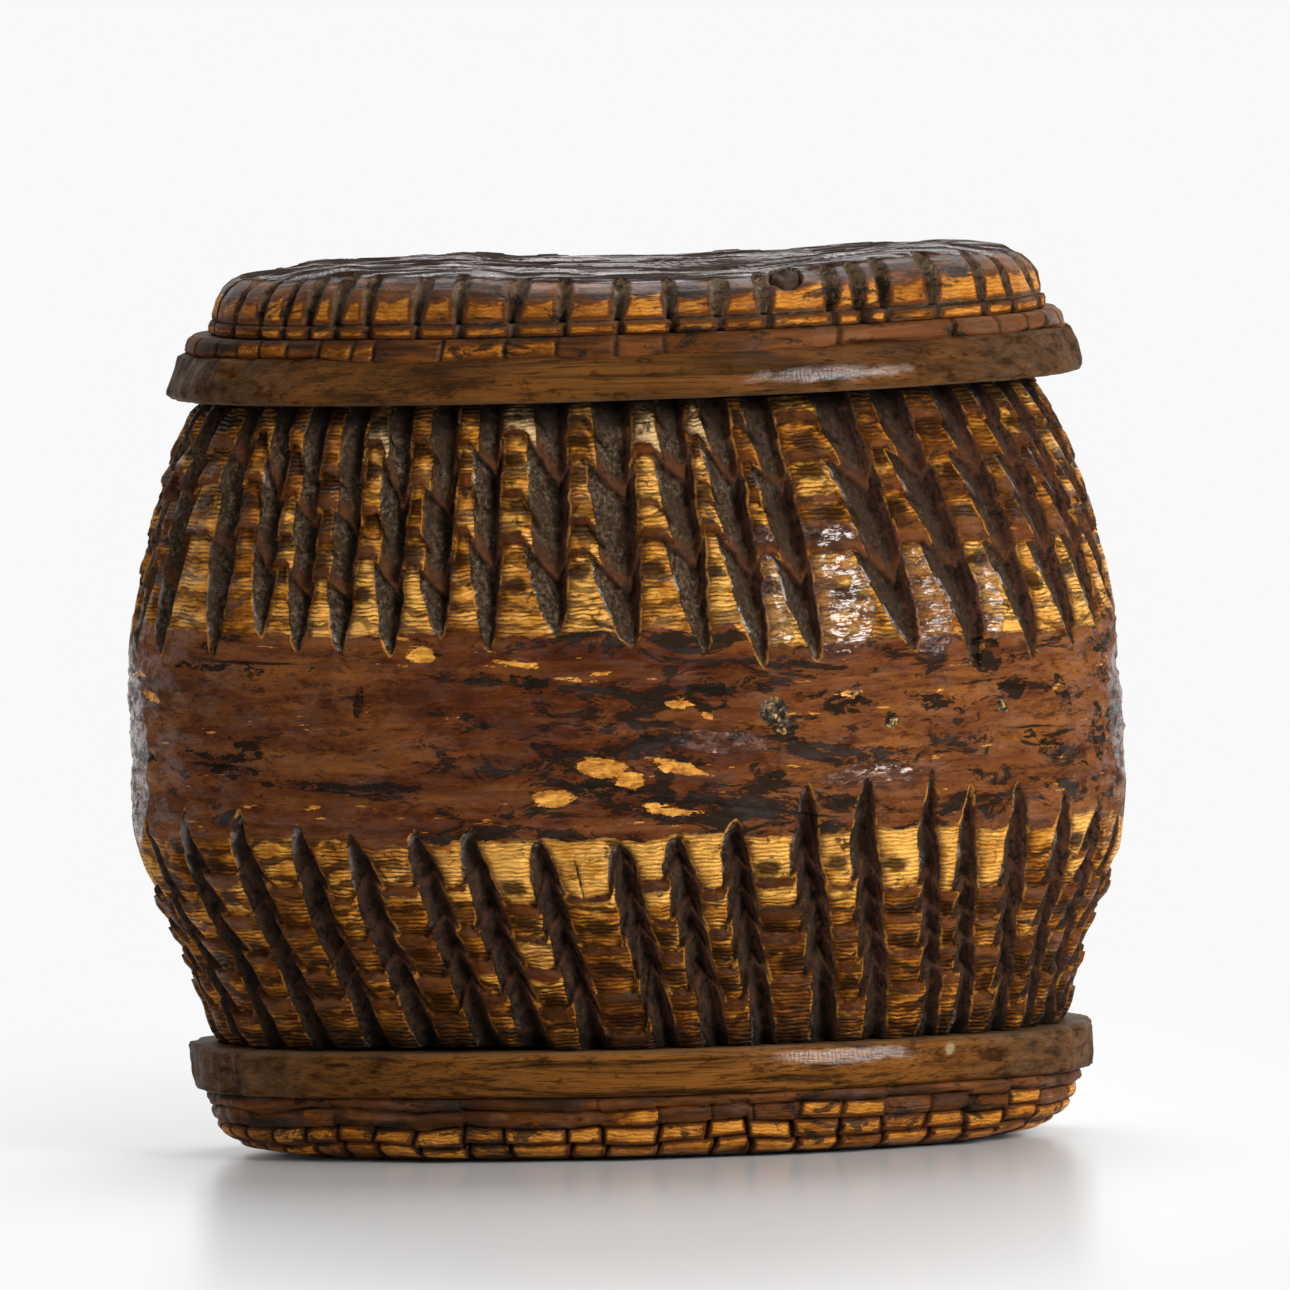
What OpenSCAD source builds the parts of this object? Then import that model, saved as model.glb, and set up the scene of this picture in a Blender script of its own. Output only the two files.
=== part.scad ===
// Oval snuff box of carved bark.
// A barrel of thick layered bark stands between two wooden boards, and each board is faced
// with notched bark. The upper board with its bark and its plug lifts off as the lid.
// Millimetres, +Z up. The origin is the middle of the face that the box stands on.
// The long side at -Y is the front.

/* [Body] */
// Width of the barrel at its belly
body_w = 92; // [80:1:110]
// Depth of the barrel at its belly, front to back
body_d = 60; // [54:1:70]
// Height of the barrel between the two boards
body_h = 60; // [52:1:75]
// Height of the belly's widest line above the lower rim
belly_z = 27.2; // [24:0.1:30]
// How far the upper rim is set in from the belly
top_set_in = 6.8; // [5:0.2:9]
// How far the lower rim is set in from the belly
foot_set_in = 6; // [4:0.2:8]
// Radius of the oval's two ends at the belly
oval_end_r = 23.5; // [21:0.5:25]
// Thickness of the bark at the upper rim, before it is carved
rim_wall = 7.5; // [6:0.5:8]

/* [Carved bands] */
// Knife cuts round each carved band
cuts = 40; // [36:1:44]
// Strokes of the knife along each upper cut
upper_strokes = 3; // [2:1:4]
// Strokes of the knife along each lower cut
lower_strokes = 4; // [2:1:5]
// Width of an upper cut where a stroke starts
upper_cut_w = 4.4; // [2:0.1:4.8]
// Width of a lower cut where a stroke starts
lower_cut_w = 3.4; // [2:0.1:4.8]
// Width of a cut as a share of its distance to the nearer neighbour, where that is less
cut_share = 0.68; // [0.4:0.02:0.75]
// Width of a cut where its last stroke runs out
tip_w = 0.5; // [0.3:0.1:1]
// Depth of a cut where a stroke starts
cut_depth = 2.4; // [1:0.1:3]
// How far the bottom of a cut lies off its middle, as a share of its width
cut_skew = 0.12; // [0:0.02:0.3]
// Width and depth left in the middle of a stroke, as a share of its start
stroke_mid = 0.84; // [0.7:0.02:0.95]
// Width and depth left in the middle of the stroke that runs out at the tip
tip_mid = 0.64; // [0.5:0.02:0.9]
// Width and depth left at the end of a stroke, as a share of its start
stroke_end = 0.62; // [0.3:0.02:0.7]
// Height of the step from one stroke to the next
stroke_step = 0.9; // [0.3:0.1:1.2]
// Height of the upper band, from the rim to the tips of its cuts
upper_band_h = 23.5; // [18:0.5:25]
// Height of the lower band, from the rim to the tips of its cuts
lower_band_h = 21; // [14:0.5:22]
// How far the tips of neighbouring cuts scatter up and down round the back
tip_scatter = 0.9; // [0:0.1:2]

/* [Boards] */
// Thickness of the lid's board
lid_board_t = 4.2; // [3.6:0.2:8]
// Thickness of the base's board
base_board_t = 4.2; // [3.6:0.2:8]
// Overhang of the lid's board past the barrel's upper rim
lid_overhang = 3; // [2:0.2:5]
// Overhang of the base's board past the barrel's lower rim
base_overhang = 1.6; // [0.5:0.1:3]
// How far the slope of the lid board's edge sets its top in
lid_bevel = 2.8; // [1:0.1:4]
// How far the slope of the base board's edge sets its underside in
base_bevel = 1.2; // [0.3:0.1:3]
// Height of the straight land at a board's wide edge
board_land = 0.8; // [0.4:0.1:1.5]

/* [Bark of the lid and the sole] */
// Step from the edge of a layer in to the bark laid on it
layer_step = 0.4; // [0.2:0.1:1]
// Thickness of the bark between the lid's board and its cap
lid_strip_h = 1.6; // [1:0.1:3]
// How far the slope of that bark's edge sets its top in
lid_strip_bevel = 0.5; // [0.2:0.1:1]
// Width of the shallow cuts round that bark
strip_cut_w = 0.8; // [0.4:0.1:1.2]
// Depth of the shallow cuts round that bark
strip_cut_depth = 0.5; // [0.2:0.1:0.8]
// Height of the notched course round the foot of the cap
lid_course_h = 1.3; // [1:0.1:2.5]
// Height of the scalloped course round the top of the cap
scallop_h = 3.2; // [1.8:0.1:5]
// Rise of the cap's top inside the scallops
crown_h = 0.5; // [0.2:0.1:1.5]
// Distance of the level top in from the scallops
crown_in = 2.6; // [1.5:0.1:4]
// Height of the plain strip round the sole, next to its board
sole_strip_h = 1.2; // [1:0.1:3]
// Height of a notched course of the sole
sole_course_h = 1.6; // [1.2:0.1:2.5]
// Depth of the kerf between two courses
kerf_depth = 0.6; // [0.3:0.1:1]
// Width of the kerf between two courses
kerf_w = 0.5; // [0.3:0.1:0.8]
// How far each course is set in from the one before
course_set_in = 0.5; // [0.2:0.1:1]
// How far the outermost course rounds in
shoulder_in = 2.6; // [1:0.1:4]
// Notches round the lid's bark
lid_notches = 42; // [30:1:48]
// Notches round the sole
sole_notches = 48; // [30:1:54]
// Width of a notch
notch_w = 1.5; // [0.8:0.1:2]
// Depth of a notch
notch_depth = 1; // [0.4:0.1:1.5]

/* [Plugs] */
// Depth of the lid's plug in the mouth of the barrel
lid_plug_h = 7; // [4:0.5:12]
// Thickness of the plug in the lower end of the barrel
base_plug_h = 7; // [4:0.5:12]
// Gap all round the lid's plug
lid_plug_gap = 0.3; // [0.2:0.05:0.6]
// Gap all round the base's plug
base_plug_gap = 0.1; // [0.05:0.05:0.3]
// Height and width of the step round the lid plug's lower edge
plug_lead_in = 0.8; // [0.3:0.1:1.5]

/* [Pegs] */
// Diameter of the wooden pegs
peg_d = 3; // [2:0.1:4]
// Gap all round a peg in its hole
peg_gap = 0.05; // [0.03:0.01:0.1]
// Wood left past the blind end of a peg hole
peg_floor = 1.2; // [0.8:0.1:2]
// Distance of the bark's pegs from the middle of the front and the back, along the belly
bark_peg_run = 15; // [8:0.5:20]
// Distance of the cap's pegs in from the cap's foot
cap_peg_in = 4.2; // [4:0.1:7]
// Distance of the sole's pegs in from the sole's upper edge
sole_peg_in = 7; // [6.5:0.1:9]
// Distance of the plug pegs from the middle of a plug
plug_peg_x = 18; // [10:0.5:20]
// How far a peg's end lies below the surface round it
peg_recess = 0.3; // [0.1:0.1:0.8]

/* [Hidden] */
$fn = 96;

bark_brown = [0.36, 0.20, 0.09];
bark_amber = [0.52, 0.30, 0.10];
board_brown = [0.33, 0.21, 0.11];
plug_tan = [0.58, 0.42, 0.25];
peg_dark = [0.24, 0.16, 0.09];

// Cuts of the front, from left to right. Each has its place in thousandths of the way round from
// the middle of the front, and how far its tip reaches past the band
upper_front = [[-204, -0.6], [-171, -0.5], [-149, -2.4], [-132, -1], [-114, -0.7], [-93, -0.5],
               [-74, -2.2], [-54, -0.9], [-29, -2.3], [-1, -1.1], [28, -0.2], [50, 1.2], [72, 0.8],
               [110, 0.5], [139, 2.5], [165, 1.9], [187, 1.1], [209, 0.3]];
lower_front = [[-217, 1.8], [-187, 1.9], [-159, 1.9], [-133, 0.4], [-110, -0.4], [-83, -0.1],
               [-63, -0.2], [-37, -1.1], [-6, -1.7], [16, -1], [39, 0.3], [68, 3.4], [91, 3.8],
               [118, 4.2], [134, 2.5], [156, 2.4], [180, 1.2], [202, -0.6], [225, -1.5]];
// Sideways run of a cut from its tip to the rim, by the place of the cut
upper_lean = [[-250, 0], [-20, 0.3], [44, -2], [135, -5.2], [250, -3], [500, 0], [750, 0]];
lower_lean = [[-250, 4.5], [-20, 4.2], [44, 3], [135, 1.6], [250, 1], [500, 3], [750, 4.5]];

// Heights of the courses of the cap and the sole, from their boards outwards
cap_courses = [lid_course_h, scallop_h];
sole_courses = [sole_strip_h, sole_course_h, sole_course_h, sole_course_h];

// Levels, from the surface that the box stands on
base_board_z = sole_strip_h + 3 * sole_course_h;
body_z = base_board_z + base_board_t;
lid_z = body_z + body_h;
lid_strip_z = lid_z + lid_board_t;
lid_cap_z = lid_strip_z + lid_strip_h;
lid_cap_edge_z = lid_cap_z + lid_course_h + scallop_h;

// One family of ovals: four arcs about fixed centres, so an inset moves every arc in alike
half_w = body_w / 2;
half_d = body_d / 2;
end_x = half_w - oval_end_r;
end_gap = half_d - oval_end_r;
side_y = (end_x * end_x - end_gap * end_gap) / (2 * end_gap);
side_r = side_y + half_d;
turn = atan2(side_y, end_x);
quarter_side = side_r * (90 - turn) * PI / 180;
end_arc = oval_end_r * 2 * turn * PI / 180;
back_start = quarter_side + end_arc;
oval_length = 2 * (quarter_side + back_start);

// The barrel's bulge is two arcs that meet at the belly, alike on every side
function arc_radius(height, set_in) = (height * height + set_in * set_in) / (2 * set_in);
upper_r = arc_radius(body_h - belly_z, top_set_in);
lower_r = arc_radius(belly_z, foot_set_in);
function bulge_inset(z) =
    let (r = z > belly_z ? upper_r : lower_r)
    r - sqrt(r * r - (z - belly_z) * (z - belly_z));

// Insets of the pieces from the belly's oval
bore_inset = top_set_in + rim_wall;
lid_board_inset = top_set_in - lid_overhang;
base_board_inset = foot_set_in - base_overhang;
lid_strip_inset = lid_board_inset + lid_bevel;
cap_inset = lid_strip_inset + lid_strip_bevel + layer_step;
crown_inset = cap_inset + (len(cap_courses) - 1) * course_set_in + shoulder_in + crown_in;
sole_inset = base_board_inset + base_bevel + layer_step;

// Places of the pegs: each starts in its own bark or plug and ends blind in the board
lid_cap_peg_z = lid_z + peg_floor;
lid_cap_peg_top = lid_cap_edge_z - peg_recess;
sole_peg_top = body_z - peg_floor;
lid_plug_peg_z = lid_z - lid_plug_h + peg_recess;
lid_plug_peg_top = lid_strip_z - peg_floor;
base_plug_peg_z = base_board_z + peg_floor;
base_plug_peg_top = body_z + base_plug_h - peg_recess;
// How far a cutter reaches past the face that it opens
past = 1;

// Degrees turned along an arc
function swept(length, radius) = length / radius * 180 / PI;

// Direction of the oval's outward normal at a distance along the belly from the middle of the front
function normal_at(run) =
    let (t = (run % oval_length + oval_length) % oval_length)
    t < quarter_side ? -90 + swept(t, side_r)
    : t < back_start ? -turn + swept(t - quarter_side, oval_end_r)
    : t < back_start + 2 * quarter_side ? turn + swept(t - back_start, side_r)
    : t < 2 * back_start + quarter_side ? 180 - turn + swept(t - back_start - 2 * quarter_side, oval_end_r)
    : 180 + turn + swept(t - 2 * back_start - quarter_side, side_r);

// A point on the oval that lies an inset inside the belly
function oval_point(run, inset, z) =
    let (n = normal_at(run), at_end = abs(cos(n)) > cos(turn), r = (at_end ? oval_end_r : side_r) - inset)
    [(at_end ? sign(cos(n)) * end_x : 0) + r * cos(n),
     (at_end ? 0 : -sign(sin(n)) * side_y) + r * sin(n),
     z];

// A steady number from -1 to 1 for each cut, so that the cuts differ as hand work does
golden_angle = 137.5;
function scatter(i) = sin(golden_angle * i) * cos(golden_angle / 3 * i);

// One ring of a plain oval
function plain_ring(inset, z) =
    [for (i = [0:$fn - 1]) oval_point((i + 0.5) * oval_length / $fn, inset, z)];

// One ring that a number of V cuts go through: each cut has an edge, a bottom and an edge
function cut_ring(count, inset, z, width, depth) =
    let (pitch = oval_length / count)
    [for (i = [0:count - 1], side = [-1:1])
        oval_point((i + 0.5) * pitch + side * width / 2, inset + (side == 0 ? depth : 0), z)];

// The bands: band is 1 for the upper one and -1 for the lower one
function band_height(band) = band > 0 ? upper_band_h : lower_band_h;
function band_strokes(band) = band > 0 ? upper_strokes : lower_strokes;
function band_cut_w(band) = band > 0 ? upper_cut_w : lower_cut_w;
function band_front(band) = band > 0 ? upper_front : lower_front;
function band_lean(band, place) = lookup(place, band > 0 ? upper_lean : lower_lean);

// Place of a cut in thousandths of the way round. Past the front, the cuts are spaced evenly
function cut_place(band, i) =
    let (front = band_front(band), n = len(front), first = front[0][0], last = front[n - 1][0])
    i < n ? front[i][0] : last + (1000 + first - last) * (i + 1 - n) / (cuts + 1 - n);

// Distance of a cut to its nearer neighbour
function cut_room(band, i) =
    let (here = cut_place(band, i),
         after = i == cuts - 1 ? cut_place(band, 0) + 1000 : cut_place(band, i + 1),
         before = i == 0 ? cut_place(band, cuts - 1) - 1000 : cut_place(band, i - 1))
    min(after - here, here - before) * oval_length / 1000;

function cut_width(band, i) = min(band_cut_w(band), cut_share * cut_room(band, i));

// Height above the lower rim, at a share of the way along one cut of a band from its rim
function cut_z(band, share, i) =
    let (front = band_front(band),
         reach = i < len(front) ? front[i][1] : tip_scatter * scatter(i + cuts * band))
    (band > 0 ? body_h : 0) - band * share * (band_height(band) + reach);

// Run along the belly, at a share of the way along one cut of a band from its rim
function cut_run(band, share, i) =
    let (place = cut_place(band, i))
    place * oval_length / 1000 + (1 - share) * band_lean(band, place);

// One ring of the barrel that follows the cuts of a band. size and deep are shares of a full cut
function band_ring(band, share, size, deep) =
    [for (i = [0:cuts - 1], side = [-1:1])
        let (z = cut_z(band, share, i), w = size * cut_width(band, i),
             off = side == 0 ? cut_skew * w : side * w / 2,
             inset = bulge_inset(z) + (side == 0 ? deep * cut_depth : 0))
        oval_point(cut_run(band, share, i) + off, inset, body_z + z)];

// The rings of a band from its rim to its tips: each stroke starts wide and deep and runs out narrow
function band_rings(band) =
    let (strokes = band_strokes(band))
    [for (k = [0:strokes - 1])
        let (start = k / strokes, end = (k + 1) / strokes, last = k == strokes - 1,
             step = k == 0 ? 0 : stroke_step / band_height(band))
        let (mid = last ? tip_mid : stroke_mid)
        each [band_ring(band, start + step, 1, 1),
              band_ring(band, (start + end) / 2, mid, mid),
              band_ring(band, end, last ? tip_w / band_cut_w(band) : stroke_end, last ? 0 : stroke_end)]];

// A ring of the bore, with a point level with each point of a band's rim
function bore_ring(band, z) =
    [for (i = [0:cuts - 1], side = [-1:1])
        let (w = cut_width(band, i), off = side == 0 ? cut_skew * w : side * w / 2)
        oval_point(cut_run(band, 0, i) + off, bore_inset, z)];

// The rings of the smooth belly, from the tips of the lower band up to those of the upper one
belly_shares = [0.08, 0.3, 0.5, 0.7, 0.92];
function belly_rings() =
    [for (share = belly_shares)
        [for (i = [0:cuts - 1], side = [-1:1])
            let (z = (1 - share) * cut_z(-1, 1, i) + share * cut_z(1, 1, i),
                 w = (1 - share) * cut_width(-1, i) + share * cut_width(1, i),
                 run = (1 - share) * cut_run(-1, 1, i) + share * cut_run(1, 1, i))
            oval_point(run + side * w / 2, bulge_inset(z), body_z + z)]];

// Rings of the cap or the sole, from its board outwards: notched courses with a kerf between each two
function course_rings(foot, heights, notches) =
    let (last = len(heights) - 1,
         level = [for (i = 0, z = 0; i <= last; z = z + heights[i], i = i + 1) z])
    [for (i = [0:last])
        let (inset = foot + i * course_set_in,
             low = level[i] + (i == 0 ? 0 : kerf_w / 2),
             high = level[i] + heights[i] - (i == last ? 0 : kerf_w / 2))
        each concat(
            [cut_ring(notches, inset, low, notch_w, notch_depth)],
            i < last
                ? [cut_ring(notches, inset, high, notch_w, notch_depth),
                   cut_ring(notches, inset + kerf_depth, high + kerf_w / 2, notch_w, notch_depth / 2)]
                : [cut_ring(notches, inset + shoulder_in / 4, (low + high) / 2, notch_w, notch_depth),
                   cut_ring(notches, inset + shoulder_in, high, notch_w, notch_depth / 2)])];

function reversed(list) = [for (i = [len(list) - 1:-1:0]) list[i]];

// The flat outline at an inset, with true arcs
module oval(inset) {
    end_r = oval_end_r - inset;
    for (side = [-1, 1]) translate([side * end_x, 0]) circle(r = end_r);
    intersection() {
        translate([0, side_y]) circle(r = side_r - inset);
        translate([0, -side_y]) circle(r = side_r - inset);
        square([2 * (end_x + end_r * cos(turn)), body_d], center = true);
    }
}

// A closed skin over rings of points, all with as many points, from the lowest ring to the highest
module skin(rings) {
    n = len(rings[0]);
    last = len(rings) - 1;
    low_mid = (last + 1) * n;
    high_mid = low_mid + 1;
    walls = [for (r = [0:last - 1], i = [0:n - 1])
        let (a = r * n + i, b = r * n + (i + 1) % n)
        each [[a, a + n, b], [b, a + n, b + n]]];
    low_cap = [for (i = [0:n - 1]) [i, (i + 1) % n, low_mid]];
    high_cap = [for (i = [0:n - 1]) [last * n + (i + 1) % n, last * n + i, high_mid]];
    mids = [for (r = [0, last]) [0, 0, rings[r][0][2]]];
    polyhedron([for (ring = concat(rings, [mids])) each ring], concat(walls, low_cap, high_cap));
}

// A closed tube over rings of points that go up the outside and down the inside
module tube_skin(rings) {
    n = len(rings[0]);
    count = len(rings);
    walls = [for (r = [0:count - 1], i = [0:n - 1])
        let (next = (r + 1) % count, j = (i + 1) % n)
        each [[r * n + i, next * n + i, r * n + j], [r * n + j, next * n + i, next * n + j]]];
    polyhedron([for (ring = rings) each ring], walls);
}

// A board with a straight land at its wide edge and a slope in to its narrow one, wide edge down
module board(inset, thickness, bevel) {
    skin([plain_ring(inset, 0), plain_ring(inset, board_land), plain_ring(inset + bevel, thickness)]);
}

// Its children at the two pegs of the cap or the sole, one in front and one behind
module at_bark_pegs(inset) {
    for (half = [0, 1]) translate(oval_point(bark_peg_run + half * oval_length / 2, inset, 0)) children();
}

// Its children at the two pegs of a plug
module at_plug_pegs() {
    for (side = [-1, 1]) translate([side * plug_peg_x, 0, 0]) children();
}

module peg(low, high) {
    translate([0, 0, low]) cylinder(d = peg_d, h = high - low);
}

module peg_hole(low, high) {
    translate([0, 0, low]) cylinder(d = peg_d + 2 * peg_gap, h = high - low);
}

// The carved barrel, open at both ends, with a straight oval bore
module body_shell() {
    outside = concat(band_rings(-1), belly_rings(), reversed(band_rings(1)));
    inside = [bore_ring(1, lid_z), bore_ring(-1, body_z)];
    color(bark_brown) tube_skin(concat(outside, inside));
}

// The plug that closes the barrel's lower end
module base_plug() {
    color(plug_tan) difference() {
        translate([0, 0, body_z]) linear_extrude(base_plug_h) oval(bore_inset + base_plug_gap);
        at_plug_pegs() peg_hole(body_z - past, body_z + base_plug_h + past);
    }
}

// The board under the barrel, wide edge up
module base_board() {
    color(board_brown) difference() {
        translate([0, 0, body_z]) mirror([0, 0, 1]) board(base_board_inset, base_board_t, base_bevel);
        at_plug_pegs() peg_hole(base_plug_peg_z, body_z + past);
        at_bark_pegs(sole_inset + sole_peg_in) peg_hole(base_board_z - past, sole_peg_top);
    }
}

// The notched bark under the base's board, which the box stands on
module base_sole() {
    color(bark_amber) difference() {
        translate([0, 0, base_board_z]) mirror([0, 0, 1])
            skin(course_rings(sole_inset, sole_courses, sole_notches));
        at_bark_pegs(sole_inset + sole_peg_in) peg_hole(-past, base_board_z + past);
    }
}

// Pegs that hold the base's plug to its board
module base_plug_pegs() {
    color(peg_dark) at_plug_pegs() peg(base_plug_peg_z, base_plug_peg_top);
}

// Pegs that hold the sole to the base's board
module sole_pegs() {
    color(peg_dark) at_bark_pegs(sole_inset + sole_peg_in) peg(peg_recess, sole_peg_top);
}

// The plug under the lid, which enters the barrel's mouth
module lid_plug() {
    foot_z = lid_z - lid_plug_h;
    side_inset = bore_inset + lid_plug_gap;
    color(plug_tan) difference() {
        union() {
            translate([0, 0, foot_z + plug_lead_in])
                linear_extrude(lid_plug_h - plug_lead_in) oval(side_inset);
            translate([0, 0, foot_z]) linear_extrude(plug_lead_in) oval(side_inset + plug_lead_in);
        }
        at_plug_pegs() peg_hole(foot_z - past, lid_z + past);
    }
}

// The lid's board, wide edge down
module lid_board() {
    color(board_brown) difference() {
        translate([0, 0, lid_z]) board(lid_board_inset, lid_board_t, lid_bevel);
        at_plug_pegs() peg_hole(lid_z - past, lid_plug_peg_top);
        at_bark_pegs(cap_inset + cap_peg_in) peg_hole(lid_cap_peg_z, lid_strip_z + past);
    }
}

// The layer of bark between the lid's board and its cap, with a row of shallow cuts
module lid_strip() {
    low = cut_ring(lid_notches, lid_strip_inset, lid_strip_z, strip_cut_w, strip_cut_depth);
    high = cut_ring(lid_notches, lid_strip_inset + lid_strip_bevel, lid_cap_z, strip_cut_w, strip_cut_depth);
    color(bark_brown) difference() {
        skin([low, high]);
        at_bark_pegs(cap_inset + cap_peg_in) peg_hole(lid_strip_z - past, lid_cap_z + past);
    }
}

// The notched cap of bark on top of the lid
module lid_cap() {
    courses = course_rings(cap_inset, cap_courses, lid_notches);
    crown = cut_ring(lid_notches, crown_inset, lid_cap_edge_z - lid_cap_z + crown_h, notch_w, 0);
    color(bark_amber) difference() {
        translate([0, 0, lid_cap_z]) skin(concat(courses, [crown]));
        at_bark_pegs(cap_inset + cap_peg_in)
            peg_hole(lid_cap_z - past, lid_cap_edge_z + crown_h + past);
    }
}

// Pegs that hold the lid's plug to its board
module lid_plug_pegs() {
    color(peg_dark) at_plug_pegs() peg(lid_plug_peg_z, lid_plug_peg_top);
}

// Pegs that hold the cap to the lid's board, with their ends in sight on its shoulder
module lid_cap_pegs() {
    color(peg_dark) at_bark_pegs(cap_inset + cap_peg_in) peg(lid_cap_peg_z, lid_cap_peg_top);
}

body_shell();
base_plug();
base_board();
base_sole();
base_plug_pegs();
sole_pegs();
lid_plug();
lid_board();
lid_strip();
lid_cap();
lid_plug_pegs();
lid_cap_pegs();
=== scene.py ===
"""Looks of the carved bark snuff box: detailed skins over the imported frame, materials, light and camera."""
import collections
import math

import bpy
import numpy as np
from mathutils import Matrix, Vector


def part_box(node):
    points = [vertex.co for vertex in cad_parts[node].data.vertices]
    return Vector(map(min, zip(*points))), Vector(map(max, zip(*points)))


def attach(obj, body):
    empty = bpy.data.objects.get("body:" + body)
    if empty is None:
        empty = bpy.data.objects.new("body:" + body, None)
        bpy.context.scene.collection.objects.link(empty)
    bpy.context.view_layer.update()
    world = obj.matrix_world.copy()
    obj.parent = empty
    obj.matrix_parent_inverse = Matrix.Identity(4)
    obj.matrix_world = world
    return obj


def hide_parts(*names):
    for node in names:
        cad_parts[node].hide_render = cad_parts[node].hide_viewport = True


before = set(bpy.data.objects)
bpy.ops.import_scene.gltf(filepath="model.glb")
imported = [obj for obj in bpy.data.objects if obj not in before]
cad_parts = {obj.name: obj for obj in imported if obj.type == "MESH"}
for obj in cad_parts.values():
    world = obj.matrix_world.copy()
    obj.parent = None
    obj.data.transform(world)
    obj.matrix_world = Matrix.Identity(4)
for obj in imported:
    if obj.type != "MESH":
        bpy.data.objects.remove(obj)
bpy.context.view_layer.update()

MM = 0.001
SEED = 476
# Signed distance that stands for far outside a mark or a cut, in millimetres
FAR = -3.0


def level(node, end):
    """Height of the lower (0) or upper (1) face of a frame node, in millimetres."""
    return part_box(node)[end].z / MM


# Levels and sizes that come from the frame, in millimetres
SOLE_Z = level("base_sole", 0)
BASE_Z = level("base_board", 0)
BODY_Z = level("body_shell", 0)
LID_Z = level("lid_board", 0)
STRIP_Z = level("lid_strip", 0)
CAP_Z = level("lid_cap", 0)
BODY_H = LID_Z - BODY_Z
HALF_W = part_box("body_shell")[1].x / MM
HALF_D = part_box("body_shell")[1].y / MM

# The barrel's own sizes, in millimetres
END_R = 23.5
BELLY_V = 27.2
TOP_SET_IN = 6.8
FOOT_SET_IN = 6.0
RIM_WALL = 7.5

# The oval: four arcs about fixed centres, so that an inset moves every arc in alike
END_X = HALF_W - END_R
END_GAP = HALF_D - END_R
SIDE_Y = (END_X ** 2 - END_GAP ** 2) / (2 * END_GAP)
SIDE_R = SIDE_Y + HALF_D
TURN = math.atan2(SIDE_Y, END_X)
QUARTER = SIDE_R * (math.pi / 2 - TURN)
END_ARC = 2 * END_R * TURN
LENGTH = 4 * QUARTER + 2 * END_ARC
RUN_KNOTS = np.cumsum([0, QUARTER, END_ARC, 2 * QUARTER, END_ARC, QUARTER])
NORMAL_KNOTS = [-math.pi / 2, -TURN, TURN, math.pi - TURN, math.pi + TURN, 1.5 * math.pi]

# The box has settled a little: its right end stands higher towards the lid, and the boards sit off the middle
LEAN_RISE = 0.35
BOARD_SHIFT = 0.75
SHIFT_HEIGHTS = [0, 5, 12, 25, 45, 60]
BODY_SHIFTS = [0.7, 0.6, 0.2, 0.0, -0.15, -0.35]


def oval_point(run, inset):
    """x and y on the oval an inset inside the belly, at a run along the belly from the front's middle."""
    normal = np.interp(np.mod(run, LENGTH), RUN_KNOTS, NORMAL_KNOTS)
    across, out = np.cos(normal), np.sin(normal)
    at_end = np.abs(across) > math.cos(TURN)
    radius = np.where(at_end, END_R, SIDE_R) - inset
    x = np.where(at_end, np.sign(across) * END_X, 0) + radius * across
    y = np.where(at_end, 0, -np.sign(out) * SIDE_Y) + radius * out
    return x, y


def from_front(run):
    """The run the short way round from the middle of the front: minus on the left, plus on the right."""
    return np.mod(run + LENGTH / 2, LENGTH) - LENGTH / 2


def run_at(x, inset):
    """Run of the front points that lie at the given x on an oval."""
    runs = np.linspace(-LENGTH / 4, LENGTH / 4, 2001)
    return np.interp(x, oval_point(runs, inset)[0], runs)


def bulge_inset(v):
    """How far the barrel's skin lies inside its belly, at a height above its lower rim."""
    set_in = np.where(v > BELLY_V, TOP_SET_IN, FOOT_SET_IN)
    rise = np.where(v > BELLY_V, BODY_H - BELLY_V, BELLY_V)
    radius = (rise ** 2 + set_in ** 2) / (2 * set_in)
    return radius - np.sqrt(radius ** 2 - (v - BELLY_V) ** 2)


def lean(x, z):
    """How far a point has risen by the settling of the box."""
    share = np.clip((z - BODY_Z) / BODY_H, 0, 1)
    return LEAN_RISE * share * x / HALF_W


def smooth(low, high, value):
    """0 below low, 1 above high, and an S between."""
    t = np.clip((value - low) / (high - low), 0, 1)
    return t * t * (3 - 2 * t)


def window(value, low, full, last, out):
    """0 below low and above out, 1 from full to last, and an S between."""
    return smooth(low, full, value) * smooth(out, last, value)


def near_end(run, inset, low, high):
    """0 along the sides of an oval and 1 at its ends, with an S between two distances from the middle."""
    return smooth(low, high, np.abs(oval_point(run, inset)[0]))


def field(a, b, seed, period=None):
    """Smooth noise from -1 to 1, one cell per unit. With a period, it closes in a after that many cells."""
    size = period or 1024
    lattice = np.random.default_rng(SEED + seed).uniform(-1, 1, (256, size))
    i, j = np.floor(a).astype(int), np.floor(b).astype(int)
    s, t = a - i, b - j
    s, t = s * s * (3 - 2 * s), t * t * (3 - 2 * t)
    low = lattice[j % 256, i % size] * (1 - s) + lattice[j % 256, (i + 1) % size] * s
    high = lattice[(j + 1) % 256, i % size] * (1 - s) + lattice[(j + 1) % 256, (i + 1) % size] * s
    return low * (1 - t) + high * t


def layers(run, z, *sizes):
    """Noise round the oval in several sizes: of each, its height, cell length, cell height and seed."""
    total = 0
    for high, cell_run, cell_z, seed in sizes:
        count = round(LENGTH / cell_run)
        total = total + high * field(np.mod(run, LENGTH) / LENGTH * count, z / cell_z + 50, seed, count)
    return total


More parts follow.
